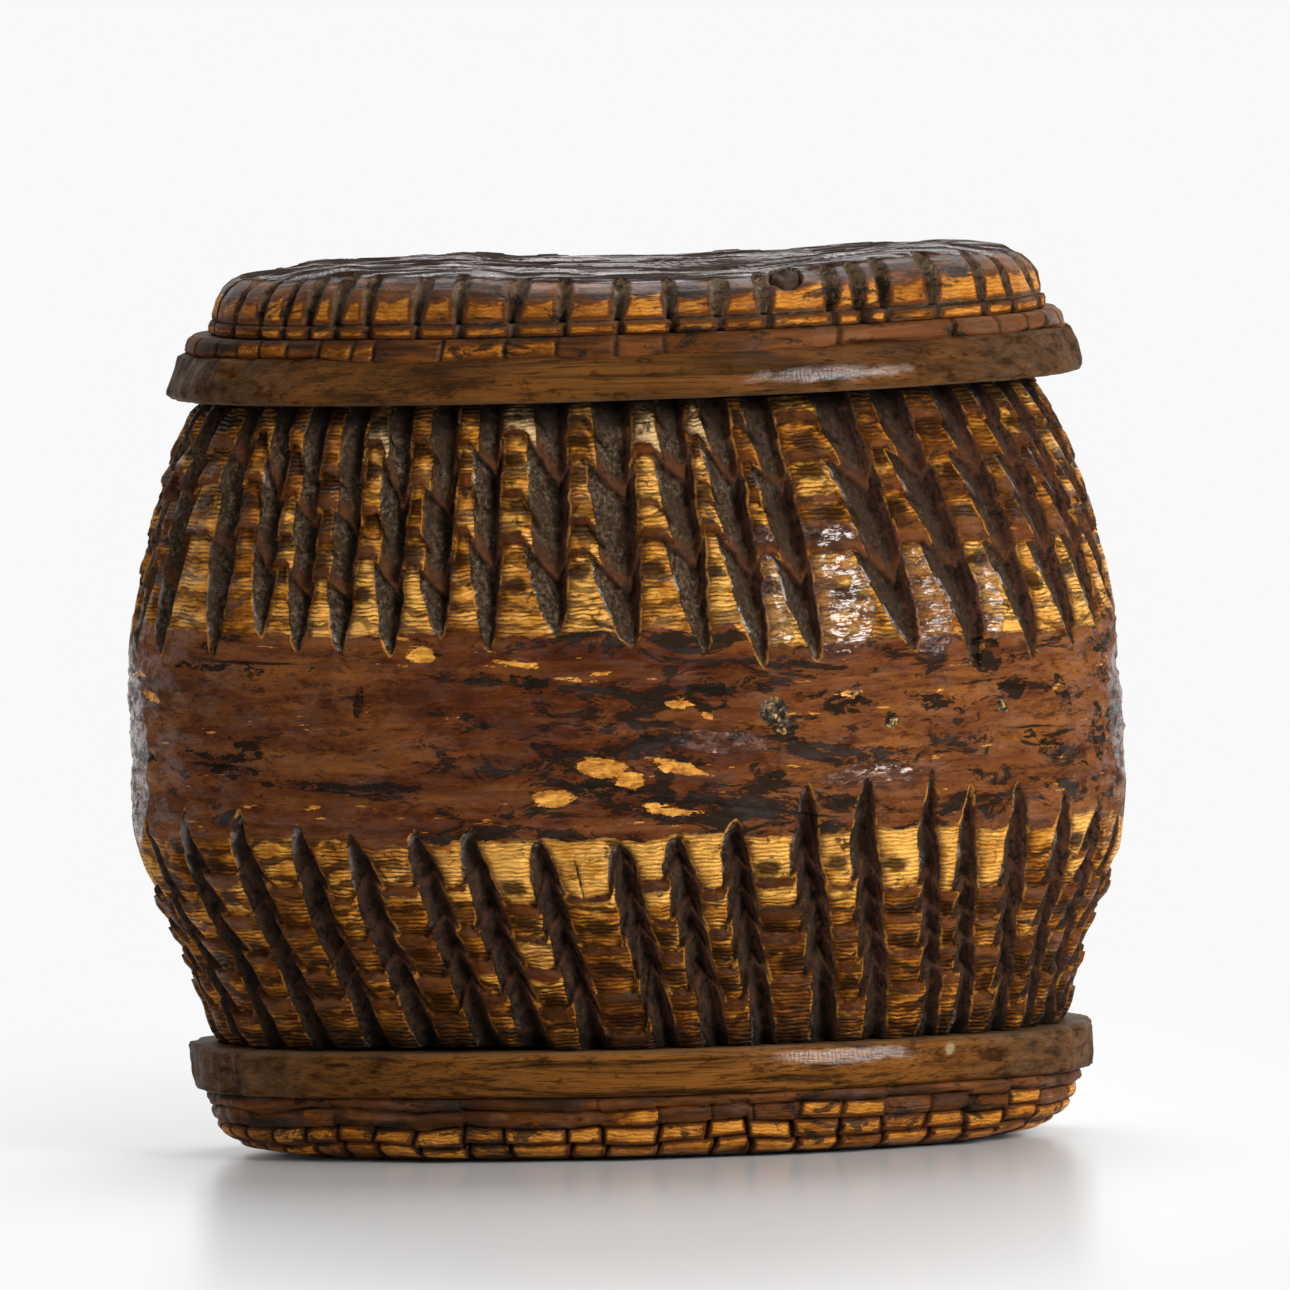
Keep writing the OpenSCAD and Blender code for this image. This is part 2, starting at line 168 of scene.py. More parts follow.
def loft(name, x, y, z, closed, values, offset=BOARD_SHIFT):
    """A mesh through rings of points, with named point values. A closed one joins its last ring to its first.
    Any other one is closed by a fan at each end."""
    rings, count = x.shape
    points = np.stack([x + offset, y, z + lean(x, z)], axis=-1).reshape(-1, 3) * MM
    r, c = np.meshgrid(np.arange(rings if closed else rings - 1), np.arange(count), indexing="ij")
    here, above, beside = r * count, (r + 1) % rings * count, (c + 1) % count
    quads = np.stack([here + c, here + beside, above + beside, above + c], axis=-1)
    corners, starts = quads.ravel(), np.arange(0, quads.size, 4)
    if not closed:
        ring, last, middle = np.arange(count), (rings - 1) * count, len(points)
        after = (ring + 1) % count
        fans = np.concatenate([np.stack([0 * ring + middle, after, ring], axis=-1),
                               np.stack([0 * ring + middle + 1, last + ring, last + after], axis=-1)])
        corners = np.concatenate([corners, fans.ravel()])
        starts = np.concatenate([starts, quads.size + np.arange(0, fans.size, 3)])
        points = np.concatenate([points, [points[:count].mean(axis=0), points[last:].mean(axis=0)]])
    mesh = bpy.data.meshes.new(name)
    mesh.vertices.add(len(points))
    mesh.vertices.foreach_set("co", points.ravel())
    mesh.loops.add(len(corners))
    mesh.loops.foreach_set("vertex_index", corners)
    mesh.polygons.add(len(starts))
    mesh.polygons.foreach_set("loop_start", starts)
    mesh.update(calc_edges=True)
    for key, value in values.items():
        at_points = np.broadcast_to(value, x.shape).astype(np.float32).ravel()
        if not closed:
            at_points = np.append(at_points, at_points[[0, -1]])
        mesh.attributes.new(key, "FLOAT", "POINT").data.foreach_set("value", at_points)
    mesh.shade_smooth()
    mesh.validate()
    piece = bpy.data.objects.new(name, mesh)
    bpy.context.scene.collection.objects.link(piece)
    return piece


def spaced(fine, coarse, half_front):
    """Runs all round the oval, closer together over the front."""
    front = np.arange(-half_front, half_front, fine)
    count = round((LENGTH - 2 * half_front) / coarse)
    back = np.linspace(half_front, LENGTH - half_front, count, endpoint=False)
    return np.concatenate([front, back])


def toward_middle(ring, shares):
    """Rings that shrink a flat ring of points towards the middle of the box."""
    return np.array([ring * (1 - share) for share in shares])


# A carved band: which way its rim lies, heights of its rim, its shaved line and its cuts, the run and height
# of each front tip, sideways run of the cuts, rows of faces from the belly to past the rim, steps at which a
# stroke ends, runs of faces that have stayed pale, width of a cut and its most of the gap, how far its floor
# lies to the right, sharpness of the tips, height of the ledges, share of burnt faces, and seed. Lengths are
# in millimetres
Band = collections.namedtuple("Band", "side rim_v shave_v cut_h tips leans rows stops pale cut_w cut_share "
                                      "skew tip_powers ledge_h burnt_share seed")
UPPER = Band(
    side=1, rim_v=BODY_H, shave_v=38.9, cut_h=23.5,
    tips=[(-49.4, 37.1), (-41.4, 37.0), (-36.1, 38.9), (-32.0, 37.5), (-27.6, 37.2), (-22.6, 37.0),
          (-17.9, 38.7), (-13.2, 37.4), (-7.0, 38.8), (-0.2, 37.6), (6.8, 36.7), (12.2, 35.3),
          (17.4, 35.7), (26.8, 36.0), (33.8, 34.0), (40.0, 34.6), (45.4, 35.4), (50.8, 36.2)],
    leans=[0, 0.3, -2.0, -5.2, -3.0, 0, 0], rows=[7.2, 3.4, 4.6, 3.4, 9.0], stops=[1, 3],
    pale=[-24.0, -10.4, 1.0, 6.4], cut_w=5.2, cut_share=0.76, skew=0.22, tip_powers=[0.6, 0.6, 0.6, 0.6, 0.6],
    ledge_h=2.6, burnt_share=0.8, seed=10)
LOWER = Band(
    side=-1, rim_v=0.0, shave_v=19.6, cut_h=21.0,
    tips=[(-52.6, 22.8), (-45.4, 22.9), (-38.5, 22.9), (-32.2, 21.4), (-26.6, 20.6), (-20.2, 20.9),
          (-15.2, 20.8), (-8.9, 19.9), (-1.4, 19.3), (4.0, 20.0), (9.4, 21.3), (16.4, 24.4),
          (22.1, 24.8), (28.6, 25.2), (32.6, 23.5), (37.9, 23.4), (43.6, 22.2), (49.1, 20.4), (54.5, 19.5)],
    leans=[4.5, 4.2, 3.0, 1.6, 1.0, 3.0, 4.5], rows=[4.7, 3.7, 3.4, 3.2, 9.0], stops=[1, 2, 3, 4],
    pale=[], cut_w=3.4, cut_share=0.68, skew=0.12, tip_powers=[0.85, 0.75, 0.5, 0.5, 0.6],
    ledge_h=1.2, burnt_share=0.5, seed=20)
# Places of the leans, in thousandths of the way round, and runs of the tips' sharpness
LEAN_PLACES = [-250, -20, 44, 135, 250, 500, 750]
TIP_RUNS = [-50, -28, -10, 10, 60]
CUTS = 40
CUT_DEPTH = 2.4
STROKE_END = 0.62
TIP_SCATTER = 0.9
GOLDEN_ANGLE = 137.5
PALE_BLOCK = 1.4
# How deep each shaved face falls, how much deeper the first rows start, and how far ridges round off at a cut
FACE_DEPTH = 0.75
FACE_STEP = 0.12
RIDGE_ROUND = 0.3
# On the right of the front the upper band has one even row of long faces below a smooth step
EVEN_FROM = 10.0
EVEN_TO = 50.0
EVEN_STEPS = [-2.0, 6.7, 11.6, 15.0, 18.4, 28.0]
EVEN_FLAT = 2.3
EVEN_SHARE = 0.85
EVEN_DARKER = 0.4


def all_round(band):
    """The listed cuts of the front, and even ones with scattered tips round the back."""
    front = len(band.tips)
    first, last = band.tips[0][0], band.tips[-1][0]
    gap = first + LENGTH - last
    back = []
    for i in range(front, CUTS):
        turn = math.radians(GOLDEN_ANGLE * (i + CUTS * band.side))
        reach = TIP_SCATTER * math.sin(turn) * math.cos(turn / 3)
        tip_v = band.rim_v - band.side * (band.cut_h + reach)
        back.append((last + gap * (i + 1 - front) / (CUTS + 1 - front), tip_v))
    return np.array(band.tips + back)


def ridge_steps(ridges, rows, rng):
    """Heights of the steps of every ridge, from the start of its first face to past the rim."""
    lengths = np.array(rows) * rng.uniform(0.7, 1.35, (ridges, len(rows)))
    first = rng.uniform(-0.6, 0.8, (ridges, 1))
    return np.concatenate([first, first + np.cumsum(lengths, axis=1)], axis=1)


def carve_band(run, v, band):
    """Values of one carved band, by name: depth below the skin, signed distances inside its cuts, ledges,
    shaved faces and burnt spots, 1 on the left wall of a cut, and a steady number for each shaved face.

    Steps run round the band: straight over each ridge, and down to the floor of each cut like a chevron.
    A stroke of a cut widens up to a step and starts narrower beyond it."""
    rng = np.random.default_rng(SEED + band.seed)
    past = (v - band.shave_v) * band.side
    band_share = np.clip(past / abs(band.rim_v - band.shave_v), 0, 1)
    cuts = all_round(band)
    number, rows = len(cuts), len(band.rows)
    gaps = np.mod(np.roll(cuts[:, 0], -1) - cuts[:, 0], LENGTH)
    widths = np.minimum(band.cut_w, band.cut_share * np.minimum(gaps, np.roll(gaps, 1)))
    tip_powers = np.interp(cuts[:, 0], TIP_RUNS, band.tip_powers)
    lean_at = np.interp(cuts[:, 0] / LENGTH * 1000, LEAN_PLACES, band.leans)
    steps = ridge_steps(number, band.rows, rng)
    shape = (number, rows)
    sags = rng.uniform(0.2, 0.9, number)
    drops = widths * rng.uniform(0.5, 0.95, number)
    flats = rng.uniform(0.35, 1.2, shape) * (np.arange(rows) > 0)
    blocks = rng.uniform(0, 1, shape)
    middles = cuts[:, 0] + gaps / 2 + lean_at
    for pale_run in band.pale:
        blocks[np.argmin(np.abs(middles - pale_run)), -2] = PALE_BLOCK
    burnt = rng.uniform(0, 1, shape) < band.burnt_share
    burn_at = rng.uniform(0.45, 0.85, shape)
    burn_side = rng.uniform(-0.15, 0.15, shape)
    even = window(cuts[:, 0], EVEN_FROM - 2, EVEN_FROM + 2, EVEN_TO - 2, EVEN_TO + 2) * (band.side > 0)
    steps = steps + EVEN_SHARE * even[:, None] * (np.array(EVEN_STEPS) - steps)
    flats[:, 1] = flats[:, 1] + even * (EVEN_FLAT - flats[:, 1])
    blocks[:, 1:] = blocks[:, 1:] - EVEN_DARKER * even[:, None]
    wander = layers(run, v, (0.2, 5, 2.6, band.seed + 1), (0.12, 1.4, 0.9, band.seed + 2))
    names = ("depth", "cut", "ledge", "left", "shave", "block", "burn")
    values = {name: np.full_like(v, FAR) for name in names}
    values["band"] = past
    for k in range(number):
        before, after = k - 1, (k + 1) % number
        side = from_front(run - cuts[k, 0] - lean_at[k] * band_share - wander)
        room_left = gaps[before] + (lean_at[k] - lean_at[before]) * band_share
        room_right = gaps[k] + (lean_at[after] - lean_at[k]) * band_share
        near = (side >= -room_left / 2) & (side < room_right / 2)
        s = past[near]
        off = side[near] - band.skew * widths[k]
        left = off < 0
        ridge = np.where(left, before, k)
        room = np.where(left, room_left[near], room_right[near])
        from_middle = 2 * (side[near] + np.where(left, room, -room) / 2) / room
        half = np.where(left, 0.5 + band.skew, 0.5 - band.skew) * widths[k]
        out = np.clip(np.abs(off) / half, 0, 1)[:, None]
        over_ridge = steps[ridge] - (sags[ridge] * from_middle ** 2)[:, None]
        on_floor = np.minimum(steps[before], steps[k]) - drops[k] * (np.arange(rows + 1) > 0)
        lines = on_floor + (over_ridge - on_floor) * out
        # The strokes of the cut
        tip = (cuts[k, 1] - band.shave_v) * band.side
        ends = np.concatenate([np.full((len(s), 1), tip), lines[:, band.stops], lines[:, -1:]], axis=1)
        each = np.arange(len(s))
        stroke = (s[:, None] >= lines[:, band.stops]).sum(axis=1)
        beyond = s - ends[each, stroke]
        t = np.clip(beyond / np.clip(ends[each, stroke + 1] - ends[each, stroke], 0.5, None), 0, 1)
        size = np.where(stroke == 0, t ** tip_powers[k], STROKE_END + (1 - STROKE_END) * t ** 0.8)
        size = size + (1 - size) * smooth(0.6, 0, beyond) * (stroke > 0)
        inside = np.minimum(half * size - np.abs(off), s - tip)
        share = np.clip(inside / np.clip(half * size, 0.01, None), 0, 1)
        cut = CUT_DEPTH * size * (1 - (1 - share) ** np.where(left, 1.2, 1.7))
        # The faces of the ridges
        row = (s[:, None] >= lines).sum(axis=1) - 1
        face = np.clip(row, 0, rows - 1)
        part = s - lines[each, face]
        length = lines[each, face + 1] - lines[each, face]
        flat = flats[ridge, face]
        slope = np.clip((part - flat) / np.clip(length - flat, 0.3, None), 0, 1)
        shaved = (FACE_STEP * np.minimum(face, 2) + FACE_DEPTH * slope ** 0.9) * (row >= 0)
        crown = RIDGE_ROUND * smooth(1.1, 0, -inside) * smooth(-1.5, 0.5, s)
        spot = np.hypot((from_middle - burn_side[ridge, face]) / 0.5, part - burn_at[ridge, face] * length)
        values["depth"][near] = np.maximum(cut, shaved + crown)
        values["cut"][near] = np.clip(inside, FAR, None)
        values["left"][near] = left
        values["ledge"][near] = np.where(stroke > 0, band.ledge_h - beyond, FAR)
        on_face = np.minimum(part - flat, length - part)
        values["shave"][near] = np.where(row >= 0, on_face, np.clip(part, FAR, 0))
        values["block"][near] = blocks[ridge, face]
        values["burn"][near] = np.where(burnt[ridge, face] & (row >= 0), 1 - spot, FAR)
    return values


# Marks on the barrel: run, height, half length, half height and tilt, in millimetres and degrees
PALE_FLAKES = [(-6.8, 23.8, 1.9, 0.85, 0), (-2.4, 26.6, 2.4, 0.95, -8), (0.3, 25.3, 1.4, 0.8, -4),
               (4.7, 26.4, 2.6, 0.6, -14), (4, 22.4, 2.8, 0.35, -6), (2.4, 22.9, 1.8, 0.25, -3),
               (5, 32.3, 1.1, 0.5, -10), (7.5, 31, 0.6, 0.3, -20), (-18.9, 37.1, 1.4, 0.8, 0),
               (-9.8, 36.2, 1.6, 0.2, -3), (-4.5, 34.8, 1.2, 0.15, -5), (21.1, 32.4, 0.8, 0.4, 0),
               (-29.8, 23.1, 0.7, 0.15, 0), (-2, 35.3, 1, 0.15, 0), (30.2, 32.4, 0.5, 0.2, 0)]
DARK_STAINS = [(7.7, 33, 2, 1.7, -10), (21.1, 31.5, 2.7, 0.9, -6), (14.9, 29.6, 1.7, 1, -30),
               (-40.8, 27.8, 3.8, 0.5, -2), (-36.5, 28.6, 1.4, 1.2, 0), (-38.8, 26.4, 3.6, 0.5, -3),
               (-28.2, 25, 5.5, 0.45, -4), (-22.2, 24.7, 2.6, 0.6, -3), (-39.8, 36.1, 5.6, 0.35, -2),
               (-2.2, 24.5, 5.6, 0.55, -6), (4.2, 23.4, 3.6, 0.35, -6), (-7.2, 28.3, 1.6, 0.7, -15),
               (40.2, 27.7, 4.2, 0.4, -3), (42.2, 26.2, 1.8, 0.9, -20), (38, 32.1, 1.5, 1.2, 20),
               (35.4, 35.1, 1.6, 1.7, 10), (29.8, 31.3, 1.7, 0.7, 0), (44.2, 31, 0.9, 2.2, 20),
               (-13.8, 30.9, 1.3, 0.5, -20), (-8.8, 34.6, 1.9, 0.6, -6), (-25.1, 33, 0.5, 1.6, -8),
               (49.8, 27.4, 1.2, 3, 15), (13.7, 25.6, 1.2, 0.6, -30), (1.8, 29.2, 2.2, 0.5, -8)]
CRUSTS = [(13.7, 31.3, 1.5, 1.3, 0), (14.6, 30, 1.1, 0.8, -20), (21.6, 32.5, 0.9, 0.4, 0)]
KNOTS = [(24.9, 29.8, 1.5, 1.4, 0), (36.5, 30.6, 1.2, 1.3, 0)]
GLOSSY = [(14.4, 41.5, 2.6, 4.5, 0), (20.6, 41, 4.2, 5, 0), (29.6, 40.5, 3, 5.4, 0), (36.4, 41, 1.4, 4.5, 0),
          (19, 47.3, 8, 1.2, 0), (23, 25, 6, 1.2, 0), (9, 28.5, 5, 1.4, -6),
          (-59.0, 27, 7.5, 9.5, 0), (59.4, 29, 7.0, 7.0, 0)]
CRACKS = [(-4.9, 16.4, 2.2, 0.14, -80), (0.4, 16.6, 1.7, 0.1, 88), (13.6, 22.1, 8, 0.16, -8.5),
          (-40.2, 27, 5, 0.14, -2), (-26.8, 24.4, 6.6, 0.14, -4.5), (-37.2, 36.6, 7, 0.16, -2),
          (40.2, 28.4, 4.8, 0.14, -2)]


def marks(run, v, places):
    """Signed distance in millimetres inside the nearest of the ellipses, or far from all."""
    best = np.full_like(v, FAR)
    for place_run, place_v, half_run, half_v, tilt in places:
        c, s = math.cos(math.radians(tilt)), math.sin(math.radians(tilt))
        across = from_front(run - place_run)
        up = v - place_v
        a, b = (across * c + up * s) / half_run, (up * c - across * s) / half_v
        best = np.maximum(best, (1 - np.sqrt(a * a + b * b)) * half_v)
    return best


def back_marks(count, half_run, half_v, seed):
    """Marks strewn over the belly's ends and back."""
    rng = np.random.default_rng(SEED + seed)
    return [(rng.uniform(50, LENGTH - 50), rng.uniform(21, 36), half_run * rng.uniform(0.5, 1.3),
             half_v * rng.uniform(0.5, 1.3), rng.uniform(-12, 4)) for _ in range(count)]


# How tan (1) or dark red (0) the polished skin is, by run
TONE_RUNS = [-121, -60, -48, -38, -26, -14, 0, 8, 16, 28, 40, 52, 80, 121]
TONES = [0.35, 0.5, 0.6, 0.58, 0.48, 0.16, 0.1, 0.2, 0.55, 0.75, 0.8, 0.75, 0.4, 0.35]
# How grimy the skin is, by run
GRIME_RUNS = [-121, -60, -45, -30, -18, -8, 10, 20, 32, 44, 52, 70, 121]
GRIMES = [0.5, 0.5, 0.25, 0.15, 0.4, 0.95, 1.05, 0.7, 0.5, 0.65, 0.8, 0.5, 0.5]


def dust(run, v):
    """How grey with dust a cut is: upper ones more than lower ones, and the left more than the right."""
    right = window(from_front(run), 2, 16, 70, 90)
    upper = window(v, 26, 44, BODY_H - 6, BODY_H) * (1 - 0.7 * right)
    return upper + 0.2 + layers(run, v, (0.3, 14, 9, 61))


def face_tones(run, v, blocks):
    """How golden each shaved face is, less so at both sides and towards the foot, and how dull."""
    at = from_front(run)
    right = window(at, 18, 32, 70, 80)
    far_left = window(at, -80, -70, -40, -10)
    # The lower band's first row faces down; it is made paler partly for its own paler faces and partly as
    # painted light
    first_row = 1.2 * window(v, 13, 15, 22, 24) * (1 - 0.6 * right - 0.85 * far_left)
    left_side = window(at, -80, -70, -32, -12)
    upper_row = (0.6 + 0.2 * smooth(49, 45, v)) * (1 - 0.7 * left_side - 0.4 * right)
    block = blocks + np.where(v > BELLY_V, upper_row, first_row - 0.2 * smooth(8, 1, v))
    block = np.where(blocks > PALE_BLOCK - 0.1, block, np.minimum(block, PALE_BLOCK))
    return block, np.where(v > BELLY_V, 0.75, smooth(1.2, 0.8, block))


# Room between the lower rim and its board where the bark has shrunk away, by run
FOOT_GAP_RUNS = [-60, -34, -24, -14, -6, 40, 60]
FOOT_GAPS = [0.0, 0.1, 0.75, 0.6, 0.05, 0.0, 0.0]
# Depth of the marks, and how far knots and crusts stand out
PEEL_DEPTH = 0.16
FLAKE_DEPTH = 0.14
CRACK_DEPTH = 0.35
STAIN_DEPTH = 0.1
CRUST_RISE = 0.3
KNOT_RISE = 0.4
KNOT_HOLE = 0.3
# How far the ends of the barrel fall in above the foot, and stand out above and below the belly
END_HOLLOW = 0.7
END_SWELL = 0.6
# Wear and chips of the rims, over a height from each rim
RIM_WEAR = 0.25
RIM_NICK = 1.1
RIM_WEAR_H = 1.6
# The most that the skin may stand out or lie deep
SKIN_OUT = -0.3
SKIN_DEEP = 3.6
BODY_RINGS = 286
BORE_RINGS = 24


def body_skin():
    runs = spaced(0.2, 0.36, 58)
    still = 0 * runs
    heights = np.linspace(0, BODY_H, BODY_RINGS)
    run, v = np.meshgrid(runs, heights)
    upper, lower = carve_band(run, v, UPPER), carve_band(run, v, LOWER)
    carved = {key: np.where(v > BELLY_V, upper[key], lower[key]) for key in upper}
    block, dull = face_tones(run, v, carved["block"])
    flake = marks(run, v, PALE_FLAKES + back_marks(14, 1.8, 0.5, 31))
    stain = marks(run, v, DARK_STAINS + back_marks(26, 2.6, 0.7, 32))
    crust, knot, crack = (marks(run, v, places) for places in (CRUSTS, KNOTS, CRACKS))
    skin = layers(run, v, (0.3, 26, 17, 40), (0.09, 7, 2.4, 41), (0.035, 2.2, 0.5, 42), (0.02, 0.7, 0.35, 43))
    peel = layers(run, v, (1, 10, 1.5, 53), (0.6, 3.2, 0.55, 54))
    skin = skin - PEEL_DEPTH * np.round(peel * 2) / 2 * window(v, 19, 22, 37, 40)
    lumps = layers(run, v, (0.2, 1.1, 1.3, 51), (0.24, 0.5, 0.55, 52))
    depth = carved["depth"] + skin + lumps * smooth(0.05, 0.9, carved["cut"])
    depth = depth + FLAKE_DEPTH * smooth(-0.1, 0.15, flake) + CRACK_DEPTH * smooth(-0.05, 0.12, crack)
    depth = depth + STAIN_DEPTH * smooth(-0.2, 0.3, stain)
    depth = depth - CRUST_RISE * smooth(-0.1, 0.6, crust) * (0.4 + field(run * 1.6, v * 1.6, 44))
    depth = depth - KNOT_RISE * smooth(-0.2, 1.0, knot) + KNOT_HOLE * smooth(0.5, 1.1, knot)
    hollow = window(v, 0, 4, 9, 13)
    swell = window(v, 32, 40, 53, 59) + window(v, 13, 17, 20, 24)
    depth = depth + near_end(run, 0, 30, 42) * (END_HOLLOW * hollow - END_SWELL * swell)
    # Rims are worn and chipped
    rim = np.minimum(v, BODY_H - v)
    nick = np.clip(layers(run, v * 0.2, (1, 2.6, 3, 45)) - 0.25, 0, 1)
    depth = depth + smooth(RIM_WEAR_H, 0, rim) * (RIM_WEAR + RIM_NICK * nick)
    inset = bulge_inset(v) + np.clip(depth, SKIN_OUT, SKIN_DEEP)
    foot_gap = np.interp(from_front(runs), FOOT_GAP_RUNS, FOOT_GAPS)
    foot_gap = foot_gap * (0.8 + 0.4 * field(runs * 0.8, still, 46))
    foot_gap = foot_gap + 0.12 * np.abs(field(runs * 0.5, still, 47))
    top_gap = 0.15 + 0.3 * np.clip(field(runs * 0.35, still, 48), 0, 1)
    z = BODY_Z + foot_gap + (heights[:, None] / BODY_H) * (BODY_H - foot_gap - top_gap)
    # Over the upper rim, down the bore and back along the lower rim
    bore = TOP_SET_IN + RIM_WALL
    shares = np.linspace(0, 1, 9)[1:, None]
    rim_bump = 0.25 * field(runs[None, :] * 0.9, shares * 9, 49)
    rim_z = z[-1] - 0.15 * np.abs(rim_bump) * (1 - shares)
    bore_inset = bore + 0.12 * field(runs[None, :] * 0.3, np.linspace(0, 12, BORE_RINGS)[1:-1, None], 50)
    bore_z = np.linspace(LID_Z, BODY_Z, BORE_RINGS)[1:-1, None] + still
    foot_inset = bore + (inset[0] - bore) * np.linspace(0, 1, 7)[:-1, None]
    more_inset = np.concatenate([inset[-1] + (bore - inset[-1]) * shares, bore_inset, foot_inset])
    all_z = np.concatenate([z, rim_z, bore_z, z[0] + 0 * foot_inset])
    all_run = np.broadcast_to(runs, all_z.shape)
    x, y = oval_point(all_run, np.concatenate([inset, more_inset]))
    # Values of the skin, and those of the rims and the bore where they aren't far from any mark
    values = {
        "cut": carved["cut"], "shave": carved["shave"], "burn": carved["burn"], "ledge": carved["ledge"],
        "band": carved["band"], "left": carved["left"], "flake": flake, "stain": stain, "crack": crack,
        "crust": np.maximum(crust, knot - 0.6), "polish": marks(run, v, GLOSSY), "depth": depth, "rim": rim,
        "inner": 0 * v, "block": block, "dull": dull, "peel": peel, "dust": dust(run, v),
        "tone": np.interp(from_front(run), TONE_RUNS, TONES) + layers(run, v, (0.18, 12, 5, 60)),
        "grime": np.interp(from_front(run), GRIME_RUNS, GRIMES) + layers(run, v, (0.25, 9, 6, 62))}
    rest = {"inner": 1, "tone": 0.4, **dict.fromkeys(
        ("left", "depth", "rim", "block", "dull", "peel", "dust", "grime"), 0)}
    values = {key: np.concatenate([value, np.full_like(more_inset, rest.get(key, FAR))])
              for key, value in values.items()}
    offset = np.interp(all_z - BODY_Z, SHIFT_HEIGHTS, BODY_SHIFTS)
    return loft("bark_barrel", x, y, all_z, True, values, offset)


def notch_runs(front_x, inset, pitch, seed):
    """Runs of the listed front notches and of unsteady ones round the back."""
    rng = np.random.default_rng(SEED + seed)
    front = run_at(np.array(front_x), inset)
    gap = front[0] + LENGTH - front[-1]
    count = round(gap / pitch)
    back = [front[-1] + gap * (k + rng.uniform(-0.2, 0.2)) / count for k in range(1, count)]
    return np.concatenate([front, back])


def notch_depth(run, slide, places, half, deep, seed):
    """Depth and signed distance of notches round the oval, straight on the left and curved on the right."""
    rng = np.random.default_rng(SEED + seed)
    depth = np.zeros(np.broadcast(run, slide, half).shape)
    inside = np.full_like(depth, FAR)
    for place in places:
        width = half * rng.uniform(0.8, 1.25)
        side = from_front(run - place - slide * rng.uniform(-0.3, 1.0))
        reach = np.where(side < 0, 0.65 * width, 1.35 * width)
        edge = reach - np.abs(side)
        share = np.clip(edge / reach, 0, 1)
        depth = np.maximum(depth, deep * rng.uniform(0.75, 1.15) * (1 - (1 - share) ** 1.7))
        inside = np.maximum(inside, edge)
    return depth, inside


def between(run, places, seed):
    """Share of the way from one notch to the next, and a steady number from 0 to 1 for each block."""
    starts = np.sort(np.mod(places, LENGTH))
    count = len(starts)
    at = np.mod(run, LENGTH)
    index = (np.searchsorted(starts, at) - 1) % count
    gap = np.mod(starts[(index + 1) % count] - starts[index], LENGTH)
    share = np.mod(at - starts[index], LENGTH) / gap
    return share, np.random.default_rng(SEED + seed).uniform(0, 1, count)[index]


# Shares of the way to the middle at which the rings of a level face lie
FLAT = [0.25, 0.5, 0.75, 0.999]
BOARD_FLAT = [0.06, 0.14, 0.25, 0.5, 0.75, 0.999]


def slab(name, runs, inset, z, values, flat, upward=True):
    """A slab from the rings of its edge, from below or from above, closed by level faces to the middle."""
    rings = slice(None) if upward else slice(None, None, -1)
    x, y = oval_point(np.broadcast_to(runs, inset.shape), inset[rings])
    shares = np.array(flat)

    def closed(ring_values):
        full = (ring_values * np.ones_like(x))[rings]
        return np.concatenate([np.repeat(full[:1], len(flat), 0), full, np.repeat(full[-1:], len(flat), 0)])

    xs, ys = (np.concatenate([toward_middle(a[0], shares[::-1]), a, toward_middle(a[-1], shares)])
              for a in (x, y))
    return loft(name, xs, ys, closed(z), False, {key: closed(value) for key, value in values.items()})


# The lid's cap: notches of the scalloped course, by x along the front, in millimetres
NOTCH_X = [-37.2, -35.6, -33.4, -31.4, -29.3, -26.8, -23.9, -19.5, -15.6, -10.8, -6.1, -1.1, 3.7, 8.0, 12.4,
           18.4, 21.0, 23.4, 27.9, 32.1, 34.6, 36.8]
NOTCH_PITCH = 5.0
NOTCH_DEPTH = 1.2
SLIT_DEPTH = 0.7
CAP_INSET = 7.5
COURSE_H = 1.3
CAP_EDGE_H = 4.5
TOP_FROM_INSET = 14.0
# Profile of the notched course and the kerf above it, and of the scalloped course: height and distance in
COURSE_HEIGHTS = [0, 0.25, 0.9, 1.2]
COURSE_INS = [0.22, 0.0, 0.0, 0.12]
KERF_INS = [0.3, 0.6, 0.65, 0.5]
SCALLOP_HEIGHTS = [1.45, 2.0, 2.9, 3.6, 4.15, 4.45, 4.5]
SCALLOP_INS = [0.40, 0.45, 0.85, 1.45, 2.3, 3.2, 3.6]
SCALLOP_RINGS = 34
TOP_RINGS = 14
# The cap lies a little to the right, and its ends stand out
CAP_SHIFT = 1.1
CAP_END_FULL = 0.25
# How far its blocks fall off towards the notches, and heights of the flakes, ripples and swells of its top
CAP_PILLOW = 0.22
TOP_FLAKE = 0.22
TOP_RIPPLE = 0.08
TOP_SWELL = 0.2
FLAKE_STEPS = 2.4
# The cap's pegs start upright as in the frame and come out on the shoulder, where their ends face outward
PEG_R = 1.5
PEG_END_R = 1.25
PEG_LOW, PEG_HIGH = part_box("lid_cap_pegs")
PEG_FOOT = np.array([PEG_HIGH.x / MM - PEG_R, PEG_LOW.y / MM + PEG_R, PEG_LOW.z / MM])
PEG_END = np.array([15.7, -17.9, 80.4])
PEG_TILT = math.radians(42)
# How far a peg's end swells, and how rough it is
PEG_SWELL = 0.3
PEG_ROUGH = 0.2
# The hollow in the cap round the end of a peg
PEG_HOLLOW = 0.9
HOLLOW_R = PEG_END_R + 0.5
HOLLOW_FLOOR_R = PEG_END_R + 0.15
# Rise of the cap's top along the box
SADDLE_X = [-37, -32, -26, -21, -15, -10, -4, 2, 7, 13, 18, 24, 29, 36]
SADDLE_RISE = [0.9, 0.75, 1.2, 1.1, 1.1, 0.45, 0.3, 0.15, 0.15, 0.4, 0.65, 1.25, 1.3, 0.85]


